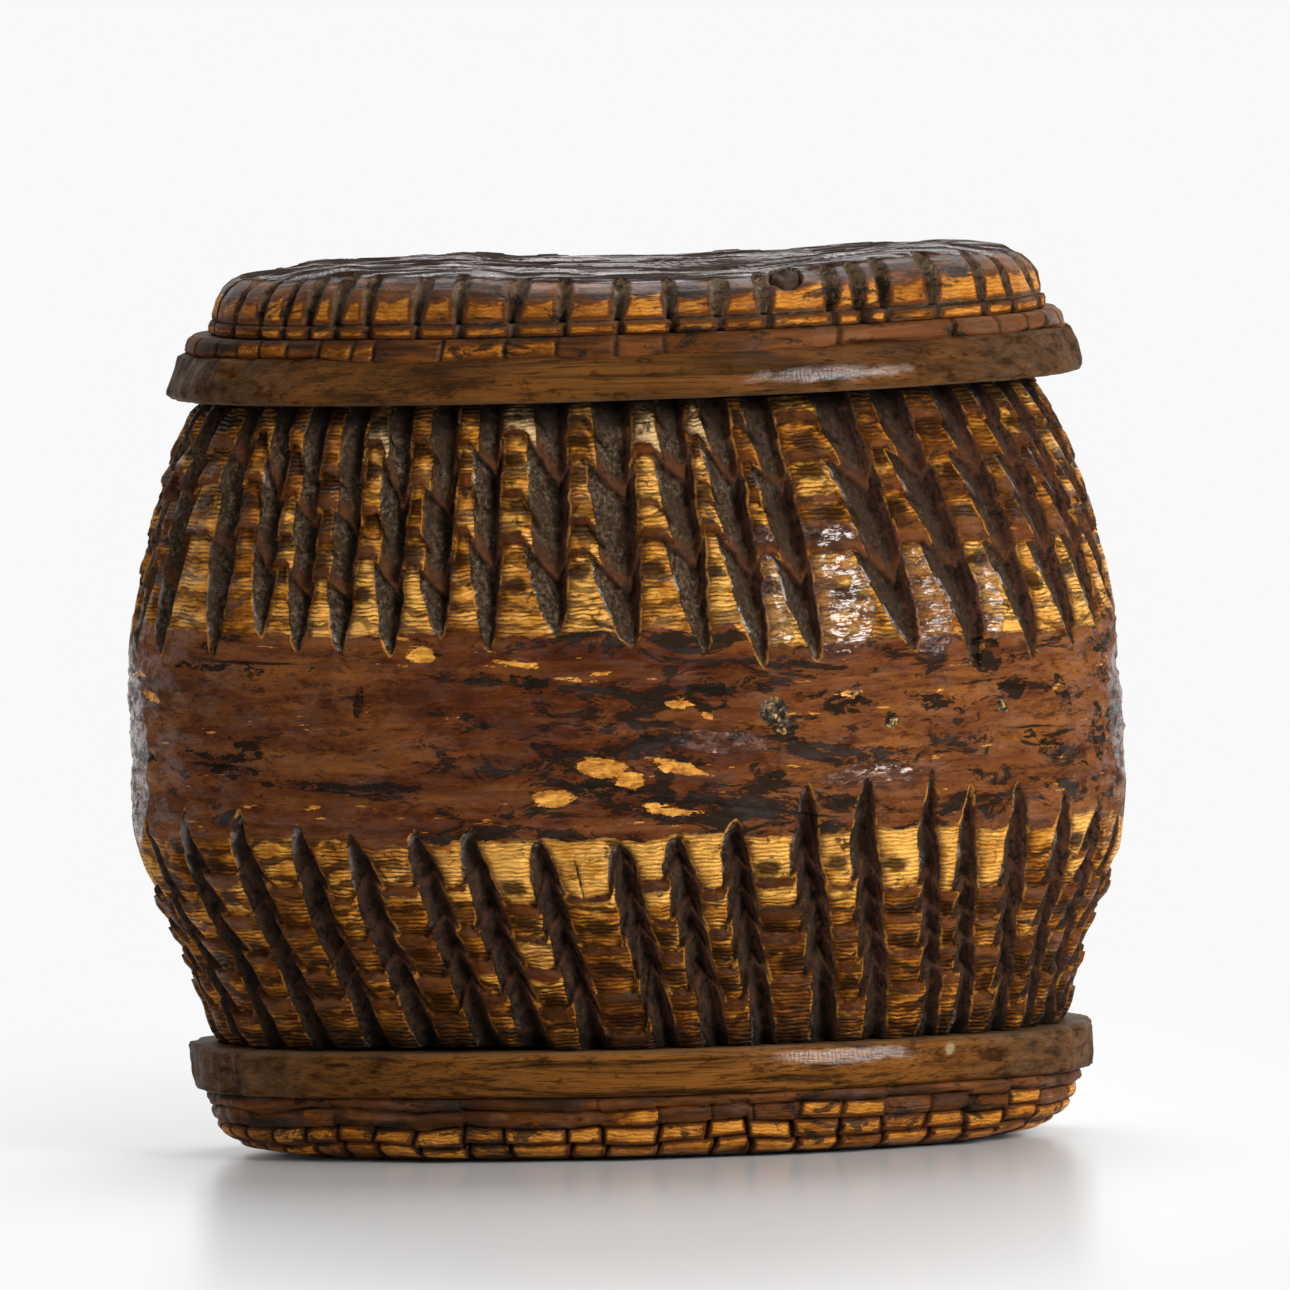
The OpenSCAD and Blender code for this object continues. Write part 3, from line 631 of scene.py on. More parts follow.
def cap_skin():
    runs = spaced(0.16, 0.32, 50)
    places = notch_runs(NOTCH_X, CAP_INSET + 1, NOTCH_PITCH, 70)
    course_z = np.linspace(0, COURSE_H - 0.1, 9)
    kerf_z = np.linspace(COURSE_H - 0.05, COURSE_H + 0.12, 4)
    knots, along = np.linspace(0, 1, len(SCALLOP_INS)), np.linspace(0, 1, SCALLOP_RINGS)
    top_in = np.linspace(SCALLOP_INS[-1], TOP_FROM_INSET - CAP_INSET, TOP_RINGS)[1:]
    top_z = np.linspace(CAP_EDGE_H, CAP_EDGE_H + 0.3, TOP_RINGS)[1:]
    profile_z = np.concatenate([course_z, kerf_z, np.interp(along, knots, SCALLOP_HEIGHTS), top_z])
    profile_in = np.concatenate([np.interp(course_z, COURSE_HEIGHTS, COURSE_INS), KERF_INS,
                                 np.interp(along, knots, SCALLOP_INS), top_in])
    rise = profile_z[:, None] + 0 * runs
    inset = profile_in[:, None] + 0 * runs
    run = np.broadcast_to(runs, rise.shape)
    in_course = rise < COURSE_H
    half = np.interp(rise, [COURSE_H, 2.2, 3.6, 4.5], [0.55, 0.7, 1.05, 1.0])
    scoop, scoop_in = notch_depth(run, 0.25 * (rise - COURSE_H), places, half, NOTCH_DEPTH, 71)
    slit, slit_in = notch_depth(run, 0 * rise, places + 0.3, 0.5, SLIT_DEPTH, 72)
    fade = smooth(4.4, 2.4, inset)
    cut = np.where(in_course, slit, scoop * fade)
    cut_in = np.where(in_course, slit_in, scoop_in - 1.6 * (1 - fade))
    kerf_in = 0.16 - np.abs(rise - COURSE_H - 0.05 - layers(run, 0 * run, (0.1, 9, 1, 73)))
    share, block = between(run, places, 76)
    gold_top = 3.3 + 0.7 * (2 * share - 1) ** 2 + 0.5 * (block - 0.5)
    gold = np.where(in_course, np.minimum(rise - 0.12, COURSE_H - 0.15 - rise),
                    np.minimum(rise - COURSE_H - 0.25, gold_top - rise))
    gold = np.minimum(gold, -0.05 - cut_in)
    pillow = CAP_PILLOW * (2 * share - 1) ** 2 * smooth(4.0, 2.0, inset)
    wobble = layers(run, rise, (0.16, 6, 1.4, 74), (0.07, 1.5, 0.6, 75))
    full = CAP_END_FULL * near_end(run, CAP_INSET, 28, 37)
    x, y = oval_point(run, CAP_INSET - full + inset + cut + pillow + wobble)
    # The top, with flakes and ridges that run along the box
    shares = np.concatenate([np.linspace(0, 0.92, 46)[1:], [0.97, 0.999]])
    foot = np.array(FLAT)[::-1]

    def whole(edge, at_foot, at_top):
        ones = np.ones(x.shape[1])
        return np.concatenate([np.full((len(foot), 1), at_foot) * ones, edge,
                               np.full((len(shares), 1), at_top) * ones])

    xs, ys = (np.concatenate([toward_middle(a[0], foot), a, toward_middle(a[-1], shares)]) for a in (x, y))
    top = whole(smooth(2.4, 3.8, inset), 0, 1)
    rises = whole(rise, 0, rise[-1, 0])
    flakes = field(xs / 9 + 40, ys / 1.5 + 40, 80) + 0.6 * field(xs / 3.2 + 40, ys / 0.7 + 40, 81)
    layer = np.round(flakes * FLAKE_STEPS) / FLAKE_STEPS
    swells = field(xs / 24 + 9, ys / 14 + 9, 82)
    rises = rises + top * (TOP_FLAKE * layer + TOP_RIPPLE * flakes + TOP_SWELL * swells)
    rises = rises + smooth(1.5, 4.6, rises) * np.interp(xs, SADDLE_X, SADDLE_RISE)
    # A hollow round the end of each peg
    around = whole(np.maximum(cut_in, kerf_in), FAR, FAR)
    for end in (PEG_END, -PEG_END):
        sideways = (xs + CAP_SHIFT - end[0]) ** 2 + (ys - end[1]) ** 2
        away = np.sqrt(sideways + (CAP_Z + rises - PEG_END[2]) ** 2)
        rises = rises - PEG_HOLLOW * smooth(HOLLOW_R, HOLLOW_FLOOR_R, away)
        around = np.maximum(around, np.where(away < HOLLOW_R, 0.3, FAR))
    values = {"cut": around, "gold": whole(gold, FAR, FAR), "block": whole(block, 0, 0.5), "top": top,
              "polish": whole(0.3 + 0.2 * smooth(2.8, 3.6, rise), 0, 0.5),
              "dusty": whole(np.where(in_course, 0.5, 1.0), 0.5, 1), "tan": 0}
    return loft("lid_bark_cap", xs, ys, CAP_Z + np.clip(rises, 0, None), False, values, CAP_SHIFT)


def peg_skin():
    """The two pegs of the cap, driven aslant, with rough round ends level with its shoulder."""
    to_rim = np.linspace(1, 0, 9)[1:]
    shares = np.concatenate([np.linspace(0, 1, 8), np.full(8, 1.0)])[:, None]
    end_radii = PEG_END_R * np.linspace(1, 0.02, 9)[1:]
    radii = np.concatenate([np.linspace(PEG_R, PEG_END_R, 8), end_radii])[:, None]
    swell = PEG_SWELL * np.concatenate([np.zeros(8), 1 - to_rim ** 2])[:, None]
    angles = np.linspace(0, 2 * math.pi, 40, endpoint=False)[None, :]
    across, over = radii * np.cos(angles), radii * np.sin(angles)
    tilt = PEG_TILT * shares
    out = swell + PEG_ROUGH * field(across * 1.8 + 20, over * 1.8 + 20, 150) * (shares == 1)
    pegs = []
    for side in (1, -1):
        turned = np.array([side, side, 1])
        middle = turned * (PEG_FOOT + (PEG_END - PEG_FOOT) * shares[:, :, None])
        x = middle[..., 0] + side * across
        y = middle[..., 1] + side * (over * np.cos(tilt) - out * np.sin(tilt))
        z = middle[..., 2] + over * np.sin(tilt) + out * np.cos(tilt)
        pegs.append(loft("lid_peg_%d" % len(pegs), x, y, z, False, {}, 0.0))
    return pegs


# Boards: sloped edges cut with a knife in facets, long along the sides and short round the ends. Each has the
# levels of its wide and its narrow face, inset of its wide edge, width of its slope, how much narrower that
# is at the ends, how much steeper and how far set in a long knife flat is, polished and waxed places (run,
# share of height, half length, half share, tilt), warmth along the front, and seed
Board = collections.namedtuple("Board", "name wide_z narrow_z inset bevel end_full steeper chamfer polish "
                                        "wax warms seed")
LID_BOARD = Board(
    "lid_board_knifed", LID_Z, STRIP_Z, inset=3.8, bevel=2.8, end_full=1.2, steeper=0.9, chamfer=0.0,
    polish=[(20.5, 0.4, 10.5, 0.2, 0)], wax=[], warms=[0.0, 0.2, 0.42, 0.25, 0.05, 0.0], seed=130)
BASE_BOARD = Board(
    "base_board_knifed", BODY_Z, BASE_Z, inset=4.4, bevel=1.2, end_full=0.8, steeper=0.0, chamfer=0.7,
    polish=[(20.5, 0.26, 9.5, 0.22, 0)], wax=[(31.5, 0.26, 0.5, 0.16, 0)],
    warms=[0.05, 0.4, 0.95, 1.0, 0.55, 0.15], seed=140)
WARM_RUNS = [-60, -32, -10, 20, 36, 60]
BOARD_LAND = 0.8
BOARD_WEAR = 0.35
BOARD_SWELL = 0.12
FLAT_RUN = 20.5
FLAT_HALF = 10.0
CHAMFER_SHARE = 0.5
FACET_INSET = 4.0
FACET_END_X = 29.0


def facets(run, seed):
    """Depth of the flats that a knife leaves round an edge."""
    rng = np.random.default_rng(SEED + seed)
    knots, proud, at = [], [], 0.0
    while at < LENGTH - 3:
        at_end = abs(oval_point(at, FACET_INSET)[0]) > FACET_END_X
        knots.append(at)
        proud.append(rng.uniform(-0.6, 0.3) if at_end else rng.uniform(-0.14, 0.14))
        at += rng.uniform(1.6, 4.2) if at_end else rng.uniform(7, 15)
    return np.interp(np.mod(run, LENGTH), np.append(knots, LENGTH), np.append(proud, proud[0]))


def board_skin(board):
    """A board from its wide edge to its narrow one. Values: wear with a painted highlight along its wide
    edge, and how rough, polished, waxed and warm.
    """
    seed = board.seed
    runs = spaced(0.25, 0.45, 50)
    thick = board.narrow_z - board.wide_z
    land = BOARD_LAND / abs(thick)
    share = np.concatenate([np.linspace(0, land, 8), np.linspace(land, 1, 26)[1:]])[:, None] + 0 * runs
    run = np.broadcast_to(runs, share.shape)
    slope = np.clip((share - land) / (1 - land), 0, 1)
    rough = near_end(run, FACET_INSET, 27, 36)
    wear = BOARD_WEAR * (smooth(0.1, 0, share) + smooth(0.93, 1, share))
    wear = wear * (1 + layers(run, 0 * run, (0.6, 4, 1, seed)))
    cut = facets(run - 1.2 * share, seed) * (0.4 + slope) + layers(run, share * 5, (0.12, 9, 1.6, seed + 1))
    hewn = rough * layers(run, share * 4, (0.18, 2.2, 2.5, seed + 3), (0.1, 0.8, 1.2, seed + 4))
    bevels = board.bevel - board.end_full * near_end(run, board.inset, 28, 38)
    warm = np.interp(from_front(run), WARM_RUNS, board.warms)
    if board.steeper > 0:
        warm = warm * smooth(0.75, 0.45, share + layers(run, share * 3, (0.35, 9, 1, seed + 5)))
    knife_flat = smooth(FLAT_HALF + 2, FLAT_HALF - 2, np.abs(from_front(run) - FLAT_RUN))
    cut = cut * (1 - knife_flat) + board.chamfer * knife_flat * np.clip(1 - share / CHAMFER_SHARE, 0, 1)
    slope = slope ** (1 + board.steeper * knife_flat)
    inset = board.inset + bevels * slope - BOARD_SWELL * np.sin(slope * math.pi) + wear + cut + hewn
    values = {"wear_and_highlight": smooth(0.2, 0, share), "rough": rough, "polish": marks(run, share, board.polish),
              "wax": marks(run, share, board.wax), "warm": warm}
    return slab(board.name, runs, inset, board.wide_z + share * thick, values, BOARD_FLAT, thick > 0)


# The bark between the lid's board and its cap: short bricks on the left, long smooth lengths on the right
STRIP_INSET = 6.6
STRIP_BEVEL = 0.5
STRIP_CUT_X = [-36.8, -35.2, -33.4, -31.2, -28.4, -25.4, -23.2, -17.0, -11.2, -6.4, -1.0, 3.6, 19.6, 30.2]
STRIP_PITCH = 5.4
STRIP_CUT_DEPTH = 0.5


def strip_skin():
    runs = spaced(0.2, 0.4, 50)
    places = notch_runs(STRIP_CUT_X, STRIP_INSET, STRIP_PITCH, 90)
    thick = CAP_Z - STRIP_Z
    share = np.linspace(0, 1, 16)[:, None] + 0 * runs
    run = np.broadcast_to(runs, share.shape)
    # Its lower edge laps down over the board's slope in waves
    lap = np.clip(0.3 + layers(runs, 0 * runs, (0.5, 13, 1, 93), (0.2, 4, 1, 94)), 0, 0.8)
    z = share * (thick + lap) - lap
    slope = LID_BOARD.bevel / (STRIP_Z - LID_Z - BOARD_LAND)
    side_inset = STRIP_INSET - 0.15 + STRIP_BEVEL * np.clip(z / thick, 0, 1)
    body_inset = np.where(z < 0, STRIP_INSET + slope * z - 0.25, side_inset)
    cut, cut_in = notch_depth(run, 0.3 * share, places, 0.3, STRIP_CUT_DEPTH, 91)
    edge_in = 0.4 * smooth(0.2, 0.0, share) + 0.35 * smooth(0.8, 1.0, share)
    inset = body_inset - LID_BOARD.end_full * near_end(run, STRIP_INSET, 28, 38)
    inset = inset + cut + edge_in + layers(run, z + 20, (0.12, 5, 0.8, 92))
    _, block = between(run, places, 95)
    right = smooth(6, 18, oval_point(run, STRIP_INSET)[0])
    gold = np.minimum(np.minimum(share - 0.12, 0.86 - share) * thick, 0.9 * (block - 0.66 - 0.5 * right))
    values = {"cut": cut_in, "gold": gold, "block": 0.7 * block, "top": 0, "polish": 0.2 + 0.12 * right,
              "dusty": 0.3, "tan": 0.45 * right}
    return slab("lid_bark_strip", runs, inset, STRIP_Z + z, values, FLAT)


# The sole: a strip and three notched courses, from its board down
SOLE_INSET = 6.0
SOLE_STRIP_H = 1.2
SOLE_COURSE_H = 1.6
SOLE_SET_IN = 0.5
SOLE_SHOULDER = 2.6
SOLE_END_FULL = 0.5
SOLE_ROUND = 2.6
SOLE_KERF = 0.5
SOLE_BELLY = 0.34
SOLE_PILLOW = 0.2
SOLE_NOTCH_X = [-36.6, -34.2, -31.2, -28.6, -25.4, -21.2, -16.8, -12.9, -7.3, -4.0, 1.0, 5.9, 9.5, 13.8, 17.9,
                22.2, 26.3, 29.9, 33.1, 35.9, 38.3]
SOLE_NOTCH_PITCH = 5.0
# For each course: sideways offset, half width and depth of its notches, and how dark its blocks are
SOLE_COURSES = [(0.0, 0.1, 0.2, 0.6), (0.3, 0.16, 0.35, 0.0), (0.0, 0.24, 0.7, 0.0), (0.25, 0.28, 0.8, 0.0)]
# How far the lines between the courses jump from block to block, and from where on the first course is pale
SOLE_JOG = 0.5
SOLE_PALE_X = 1.0


def sole_skin():
    runs = spaced(0.16, 0.34, 50)
    height = BASE_Z - SOLE_Z
    down = np.linspace(0, height, 66)[:, None] + 0 * runs
    run = np.broadcast_to(runs, down.shape)
    across = oval_point(run, SOLE_INSET)[0]
    base_places = notch_runs(SOLE_NOTCH_X, SOLE_INSET + 1, SOLE_NOTCH_PITCH, 101)
    _, jog = between(run, base_places, 98)
    wave = layers(run, 0 * run, (0.28, 11, 1, 100)) + layers(run, down * 0.6, (0.2, 4, 1, 99))
    wave = (wave + SOLE_JOG * (jog - 0.5)) * window(down, 0, 0.8, height - 0.8, height)
    course = np.clip(np.floor((down + wave - SOLE_STRIP_H) / SOLE_COURSE_H) + 1, 0, 3).astype(int)
    start = np.where(course == 0, 0, SOLE_STRIP_H + (course - 1) * SOLE_COURSE_H)
    length = np.where(course == 0, SOLE_STRIP_H, SOLE_COURSE_H)
    part = np.clip((down + wave - start) / length, 0, 1)
    to_line = np.minimum(part * length - FAR * (course == 0), (1 - part) * length - FAR * (course == 3))
    kerf_in = 0.08 + layers(run, down, (0.1, 3, 0.8, 97)) - to_line
    belly = SOLE_BELLY * (2 * part - 1) ** 2
    shoulder = np.where(course == 3, SOLE_SHOULDER * np.clip(part - 0.25, 0, 1) ** 2 / 0.5625, 0)
    depth, block, share = np.zeros_like(down), np.zeros_like(down), np.zeros_like(down)
    cut_in = np.full_like(down, FAR)
    slant = 0.7 + 0.9 * smooth(20, 32, across)
    for number, (offset, half, deep, dark) in enumerate(SOLE_COURSES):
        rng = np.random.default_rng(SEED + 102 + number)
        places = base_places + offset + rng.uniform(-0.35, 0.35, len(base_places))
        if number == 0:
            places = places[::3]
        here = course == number
        one, one_in = notch_depth(run, -slant * (part - 0.5), places, half, deep, 110 + number)
        one_share, one_block = between(run, places, 115 + number)
        if number == 1:
            plain = smooth(SOLE_PALE_X + 5, SOLE_PALE_X - 5, across)
            dark, one, one_in = 0.6 * plain, one * (1 - plain), one_in - 2 * plain
        depth = np.where(here, one, depth)
        cut_in = np.where(here, one_in, cut_in)
        share = np.where(here, one_share, share)
        block = np.where(here, one_block - dark, block)
    pillow = SOLE_PILLOW * (2 * share - 1) ** 2 * (course > 0)
    wobble = layers(run, down, (0.16, 7, 1.4, 120), (0.06, 1.3, 0.5, 121))
    inset = SOLE_INSET + SOLE_SET_IN * course + belly + shoulder + depth + pillow + wobble
    round_in = SOLE_ROUND * np.clip((down - height + SOLE_ROUND) / SOLE_ROUND, 0, 1) ** 1.4
    inset = inset + SOLE_KERF * smooth(0, 0.15, kerf_in)
    inset = inset + (round_in - SOLE_END_FULL) * near_end(run, SOLE_INSET, 28, 38)
    to_edge = np.minimum(part, 1 - part) * length - 0.08
    gold = np.where(course == 0, FAR, np.where(course == 1, np.minimum(block - 0.2, to_edge), to_edge))
    values = {"cut": np.maximum(cut_in, kerf_in), "gold": np.minimum(gold, -cut_in), "block": block,
              "top": smooth(height - 0.35, height, down), "polish": 0.3, "dusty": 0, "tan": 0}
    return slab("bark_sole", runs, inset, BASE_Z - down, values, FLAT, False)


class Wire:
    """One output of a node. Plus, minus and times carry it on through Math nodes."""

    def __init__(self, tree, socket):
        self.tree = tree
        self.socket = socket

    def __add__(self, other):
        return self.tree.math("ADD", self, other)

    def __sub__(self, other):
        return self.tree.math("SUBTRACT", self, other)

    def __rsub__(self, other):
        return self.tree.math("SUBTRACT", other, self)

    def __mul__(self, other):
        return self.tree.math("MULTIPLY", self, other)


class Tree:
    """The nodes of a world or a material."""

    def __init__(self, owner):
        owner.use_nodes = True
        self.nodes = owner.node_tree.nodes
        self.links = owner.node_tree.links
        self.nodes.clear()

    def add(self, kind, inputs=(), **settings):
        """A node with its settings, and its inputs by name or number."""
        node = self.nodes.new(kind)
        for key, value in settings.items():
            setattr(node, key, value)
        for key, value in dict(inputs).items():
            socket = node.inputs[key]
            if isinstance(value, Wire):
                self.links.new(value.socket, socket)
            elif socket.type == "RGBA":
                socket.default_value = (*value, 1.0)
            else:
                socket.default_value = value
        return node

    def wire(self, output, kind, inputs=(), **settings):
        """One output of a new node."""
        return Wire(self, self.add(kind, inputs, **settings).outputs[output])

    def math(self, operation, a, b=0.0):
        return self.wire(0, "ShaderNodeMath", {0: a, 1: b}, operation=operation)

    def step(self, value, low, high):
        """0 at low and 1 at high, with an S between."""
        flip = low > high
        ends = {"From Min": min(low, high), "From Max": max(low, high), "To Min": flip, "To Max": not flip}
        return self.wire("Result", "ShaderNodeMapRange", {"Value": value, **ends},
                         interpolation_type="SMOOTHSTEP")

    def rays(self, first, *others):
        """1 for rays of any of the kinds."""
        path = self.add("ShaderNodeLightPath")
        share = Wire(self, path.outputs[first])
        for kind in others:
            share = self.math("MAXIMUM", share, Wire(self, path.outputs[kind]))
        return share

    def mixed(self, share, a, b):
        """Shader a where the share is 0 and b where it is 1."""
        return self.wire(0, "ShaderNodeMixShader", {0: share, 1: a, 2: b})


class Look(Tree):
    """A material of bark or wood, with patterns measured in millimetres."""

    def __init__(self, name):
        self.material = bpy.data.materials.new(name)
        super().__init__(self.material)
        self.place = self.wire("Object", "ShaderNodeTexCoord")
        self.place = self.stretched(1 / MM, 1 / MM, 1 / MM)

    def stretched(self, x, y, z, shift=0.0):
        """Places with so many units per millimetre along each axis."""
        sizes = {"Scale": (x, y, z), "Location": (shift, shift, shift)}
        return self.wire("Vector", "ShaderNodeMapping", {"Vector": self.place, **sizes})

    def noise(self, cells, detail, rough, shift, distortion=0.0):
        """Noise with so many cells per millimetre along x, y and z."""
        fineness = {"Scale": 1.0, "Detail": detail, "Roughness": rough, "Distortion": distortion}
        return self.wire("Fac", "ShaderNodeTexNoise", {"Vector": self.stretched(*cells, shift), **fineness})

    def waves(self, way, place, scale, sway, detail, rough):
        """Wavy bands across one axis."""
        fineness = {"Scale": scale, "Distortion": sway, "Detail": detail, "Detail Roughness": rough}
        return self.wire("Fac", "ShaderNodeTexWave", {"Vector": place, "Detail Scale": 1.0, **fineness},
                         wave_type="BANDS", bands_direction=way, wave_profile="SIN")

    def lines(self, per_mm, sway, along=0.4, up=0.45):
        """Wavy level lines, so many per millimetre of height. They sway in cells of a size along and up."""
        return self.waves("Z", self.stretched(along, along, up), per_mm * math.pi / 10 / up, sway, 3.0, 0.6)

    def value(self, name):
        """A value that the mesh holds at its points."""
        return self.wire("Fac", "ShaderNodeAttribute", attribute_type="GEOMETRY", attribute_name=name)

    def paint(self, colour, *coats):
        """A colour under coats, each with its share and its own colour."""
        for share, coat in coats:
            colour = self.wire(2, "ShaderNodeMix", {0: share, 6: colour, 7: coat}, data_type="RGBA")
        return colour

    def blend(self, share, a, b):
        """Number a where the share is 0 and b where it is 1."""
        return self.wire(0, "ShaderNodeMix", {0: share, 2: a, 3: b}, data_type="FLOAT")

    def ramp(self, value, *stops):
        """Colours by value, each with its place from 0 to 1."""
        node = self.add("ShaderNodeValToRGB", {"Fac": value})
        elements = node.color_ramp.elements
        while len(elements) < len(stops):
            elements.new(0.5)
        for element, (at, colour) in zip(elements, stops):
            element.position = at
            element.color = (*colour, 1.0)
        return Wire(self, node.outputs["Color"])

    def finish(self, colour, roughness, gloss, height, bump_mm):
        relief = {"Strength": 1.0, "Distance": bump_mm * MM, "Height": height}
        normal = self.wire("Normal", "ShaderNodeBump", relief)
        surface = {"Base Color": colour, "Roughness": roughness, "Specular IOR Level": gloss,
                   "Normal": normal}
        shader = self.wire("BSDF", "ShaderNodeBsdfPrincipled", surface)
        self.add("ShaderNodeOutputMaterial", {"Surface": shader})
        return self.material


# Colours, in linear light
GOLD_DEEP = (0.200, 0.068, 0.014)
GOLD = (0.540, 0.222, 0.030)
GOLD_PALE = (0.800, 0.400, 0.080)
FACE_PALE = (0.620, 0.420, 0.190)
AMBER_DEEP = (0.200, 0.064, 0.007)
AMBER = (0.370, 0.130, 0.013)
LAYER_BROWN = (0.090, 0.028, 0.005)
LAYER_DARK = (0.026, 0.009, 0.002)
FACING_DARK = (0.050, 0.018, 0.006)
FACING_RED = (0.125, 0.042, 0.010)
SKIN_DARK = (0.038, 0.010, 0.004)
SKIN_RED = (0.076, 0.018, 0.005)
SKIN_TAN = (0.158, 0.054, 0.015)
SKIN_ORANGE = (0.250, 0.085, 0.016)
SOOT = (0.012, 0.009, 0.006)
GROOVE_DARK = (0.014, 0.009, 0.005)
GROOVE_BROWN = (0.062, 0.034, 0.016)
GROOVE_GREY = (0.075, 0.058, 0.038)
GROOVE_DUST = (0.320, 0.245, 0.160)
NOTCH_GREY = (0.140, 0.098, 0.060)
WAX = (0.330, 0.270, 0.150)
WALL_RED = (0.120, 0.042, 0.017)
WALL_PURPLE = (0.050, 0.026, 0.018)
WALL_GREY = (0.155, 0.110, 0.070)
BOARD_OLIVE = (0.048, 0.019, 0.004)
BOARD_DARK = (0.020, 0.008, 0.002)
BOARD_WARM = (0.112, 0.039, 0.007)
BOARD_AMBER = (0.190, 0.070, 0.012)
BOARD_GREY = (0.105, 0.068, 0.038)
TOP_PURPLE = (0.030, 0.013, 0.008)
TOP_GREY = (0.080, 0.060, 0.050)
PEG_BROWN = (0.055, 0.029, 0.012)
PLUG_TAN = (0.300, 0.185, 0.090)
PLUG_DARK = (0.130, 0.070, 0.030)
# Height of each material's fine relief, in millimetres
BARK_BUMP = 0.16
BOARD_BUMP = 0.12
WOOD_BUMP = 0.1


def shaved_layers(look):
    """Colour of shaved bark: golden, with wavy dark layer lines and dark patches. Also those lines."""
    block = look.value("block")
    dull = look.value("dull")
    shade = look.noise((0.4, 0.4, 0.7), 5, 0.65, 3) + (block - 0.5) * 0.3
    lines = look.lines(2.5, 7.0, 0.28, 0.45)
    strong = look.step(look.noise((0.4, 0.4, 0.8), 4, 0.6, 11), 0.34, 0.6) * look.blend(dull, 0.5, 0.95)
    strips = look.step(look.lines(0.5, 11.0, 0.25, 0.3), 0.36, 0.12)
    fibre = look.noise((0.6, 0.6, 5.0), 3, 0.6, 23)
    blotch = look.noise((0.34, 0.34, 0.55), 6, 0.7, 7, 0.5)
    colour = look.ramp(shade, (0.3, LAYER_BROWN), (0.42, AMBER_DEEP), (0.52, AMBER), (0.62, GOLD),
                       (0.76, GOLD_PALE))
    colour = look.paint(
        colour, (look.step(block, 1.5, 1.7), FACE_PALE), (look.step(lines, 0.5, 0.1) * strong, LAYER_DARK),
        (strips * (dull * 0.85), LAYER_DARK), (look.step(fibre, 0.5, 0.36) * 0.4, LAYER_BROWN),
        (look.step(blotch, 0.56, 0.64) * 0.85, LAYER_DARK))
    return colour, lines


def polished_skin(look, fray, mottle, fine):
    """Colour of the skin: mottled, scratched, peeled in thin layers and spotted with soot. Also the soot."""
    streak = look.noise((0.07, 0.07, 0.4), 7, 0.68, 2, 0.4)
    red = look.ramp(streak, (0.36, SKIN_DARK), (0.5, SKIN_RED), (0.7, SKIN_TAN))
    tan = look.ramp(streak, (0.32, SKIN_RED), (0.5, SKIN_TAN), (0.74, SKIN_ORANGE))
    peel = look.value("peel") + fray * 1.5
    dash = look.noise((0.22, 0.22, 1.5), 4, 0.65, 21)
    soot = look.noise((0.16, 0.16, 0.42), 8, 0.76, 13, 0.6) + look.value("grime") * 0.12
    soot = look.step(soot, 0.615, 0.645)
    skin = look.paint(
        red, (look.step(look.value("tone"), 0.05, 0.8), tan),
        (look.step(mottle, 0.5, 0.38) * 0.75, SKIN_DARK),
        (look.step(mottle, 0.59, 0.7) * 0.5, SKIN_ORANGE), (look.step(fine, 0.53, 0.64) * 0.7, SKIN_DARK),
        (look.step(peel, 0.2, 0.5) * 0.4, tan), (look.step(peel, -0.45, -0.7) * 0.4, SKIN_DARK),
        (look.step(dash, 0.66, 0.69), GOLD), (soot * 0.92, SOOT))
    return skin, soot


def cut_walls(look, fray, mottle, left):
    """Colour of the cuts: gritty left walls, layered red right walls, floors darker with depth from dirt and
    painted shade, and red ledges where a stroke starts. Also their grit and clots, and how dusty they are."""
    dusty = look.step(look.value("dust"), 0.1, 1.0)
    depth = look.value("depth")
    grit = look.noise((2.3, 2.3, 2.0), 6, 0.78, 31)
    clots = look.noise((1.3, 1.3, 1.0), 7, 0.76, 29, 0.3)
    tarnish = look.noise((0.3, 0.3, 0.22), 5, 0.65, 9)
    upper_left = look.ramp(grit, (0.36, GROOVE_DARK), (0.48, GROOVE_BROWN), (0.58, WALL_GREY),
                           (0.72, GROOVE_DUST))
    upper_left = look.paint(upper_left, (look.step(tarnish, 0.5, 0.4) * 0.7, GROOVE_BROWN))
    lower_left = look.ramp(clots, (0.4, SOOT), (0.49, WALL_PURPLE), (0.56, GROOVE_BROWN), (0.64, WALL_RED),
                           (0.74, WALL_GREY))
    strata = look.math("PINGPONG", depth + fray * 1.6, 0.4)
    layered = look.paint(WALL_PURPLE, (look.step(strata, 0.05, 0.3), WALL_RED),
                         (look.step(clots, 0.5, 0.4), GROOVE_DARK))
    ledge_red = look.ramp(mottle, (0.36, WALL_PURPLE), (0.5, WALL_RED), (0.66, GOLD_DEEP))
    walls = look.paint(
        layered, (left, look.paint(lower_left, (dusty, upper_left))),
        # Darker with depth: dirt and painted shade in the deep floor
        (look.step(depth + fray * 0.8, 1.5, 2.3) * 0.75, GROOVE_DARK),
        (look.step(look.value("ledge") + fray * 2.6, 0.0, 1.5) * 0.85, ledge_red))
    return walls, grit, clots, dusty


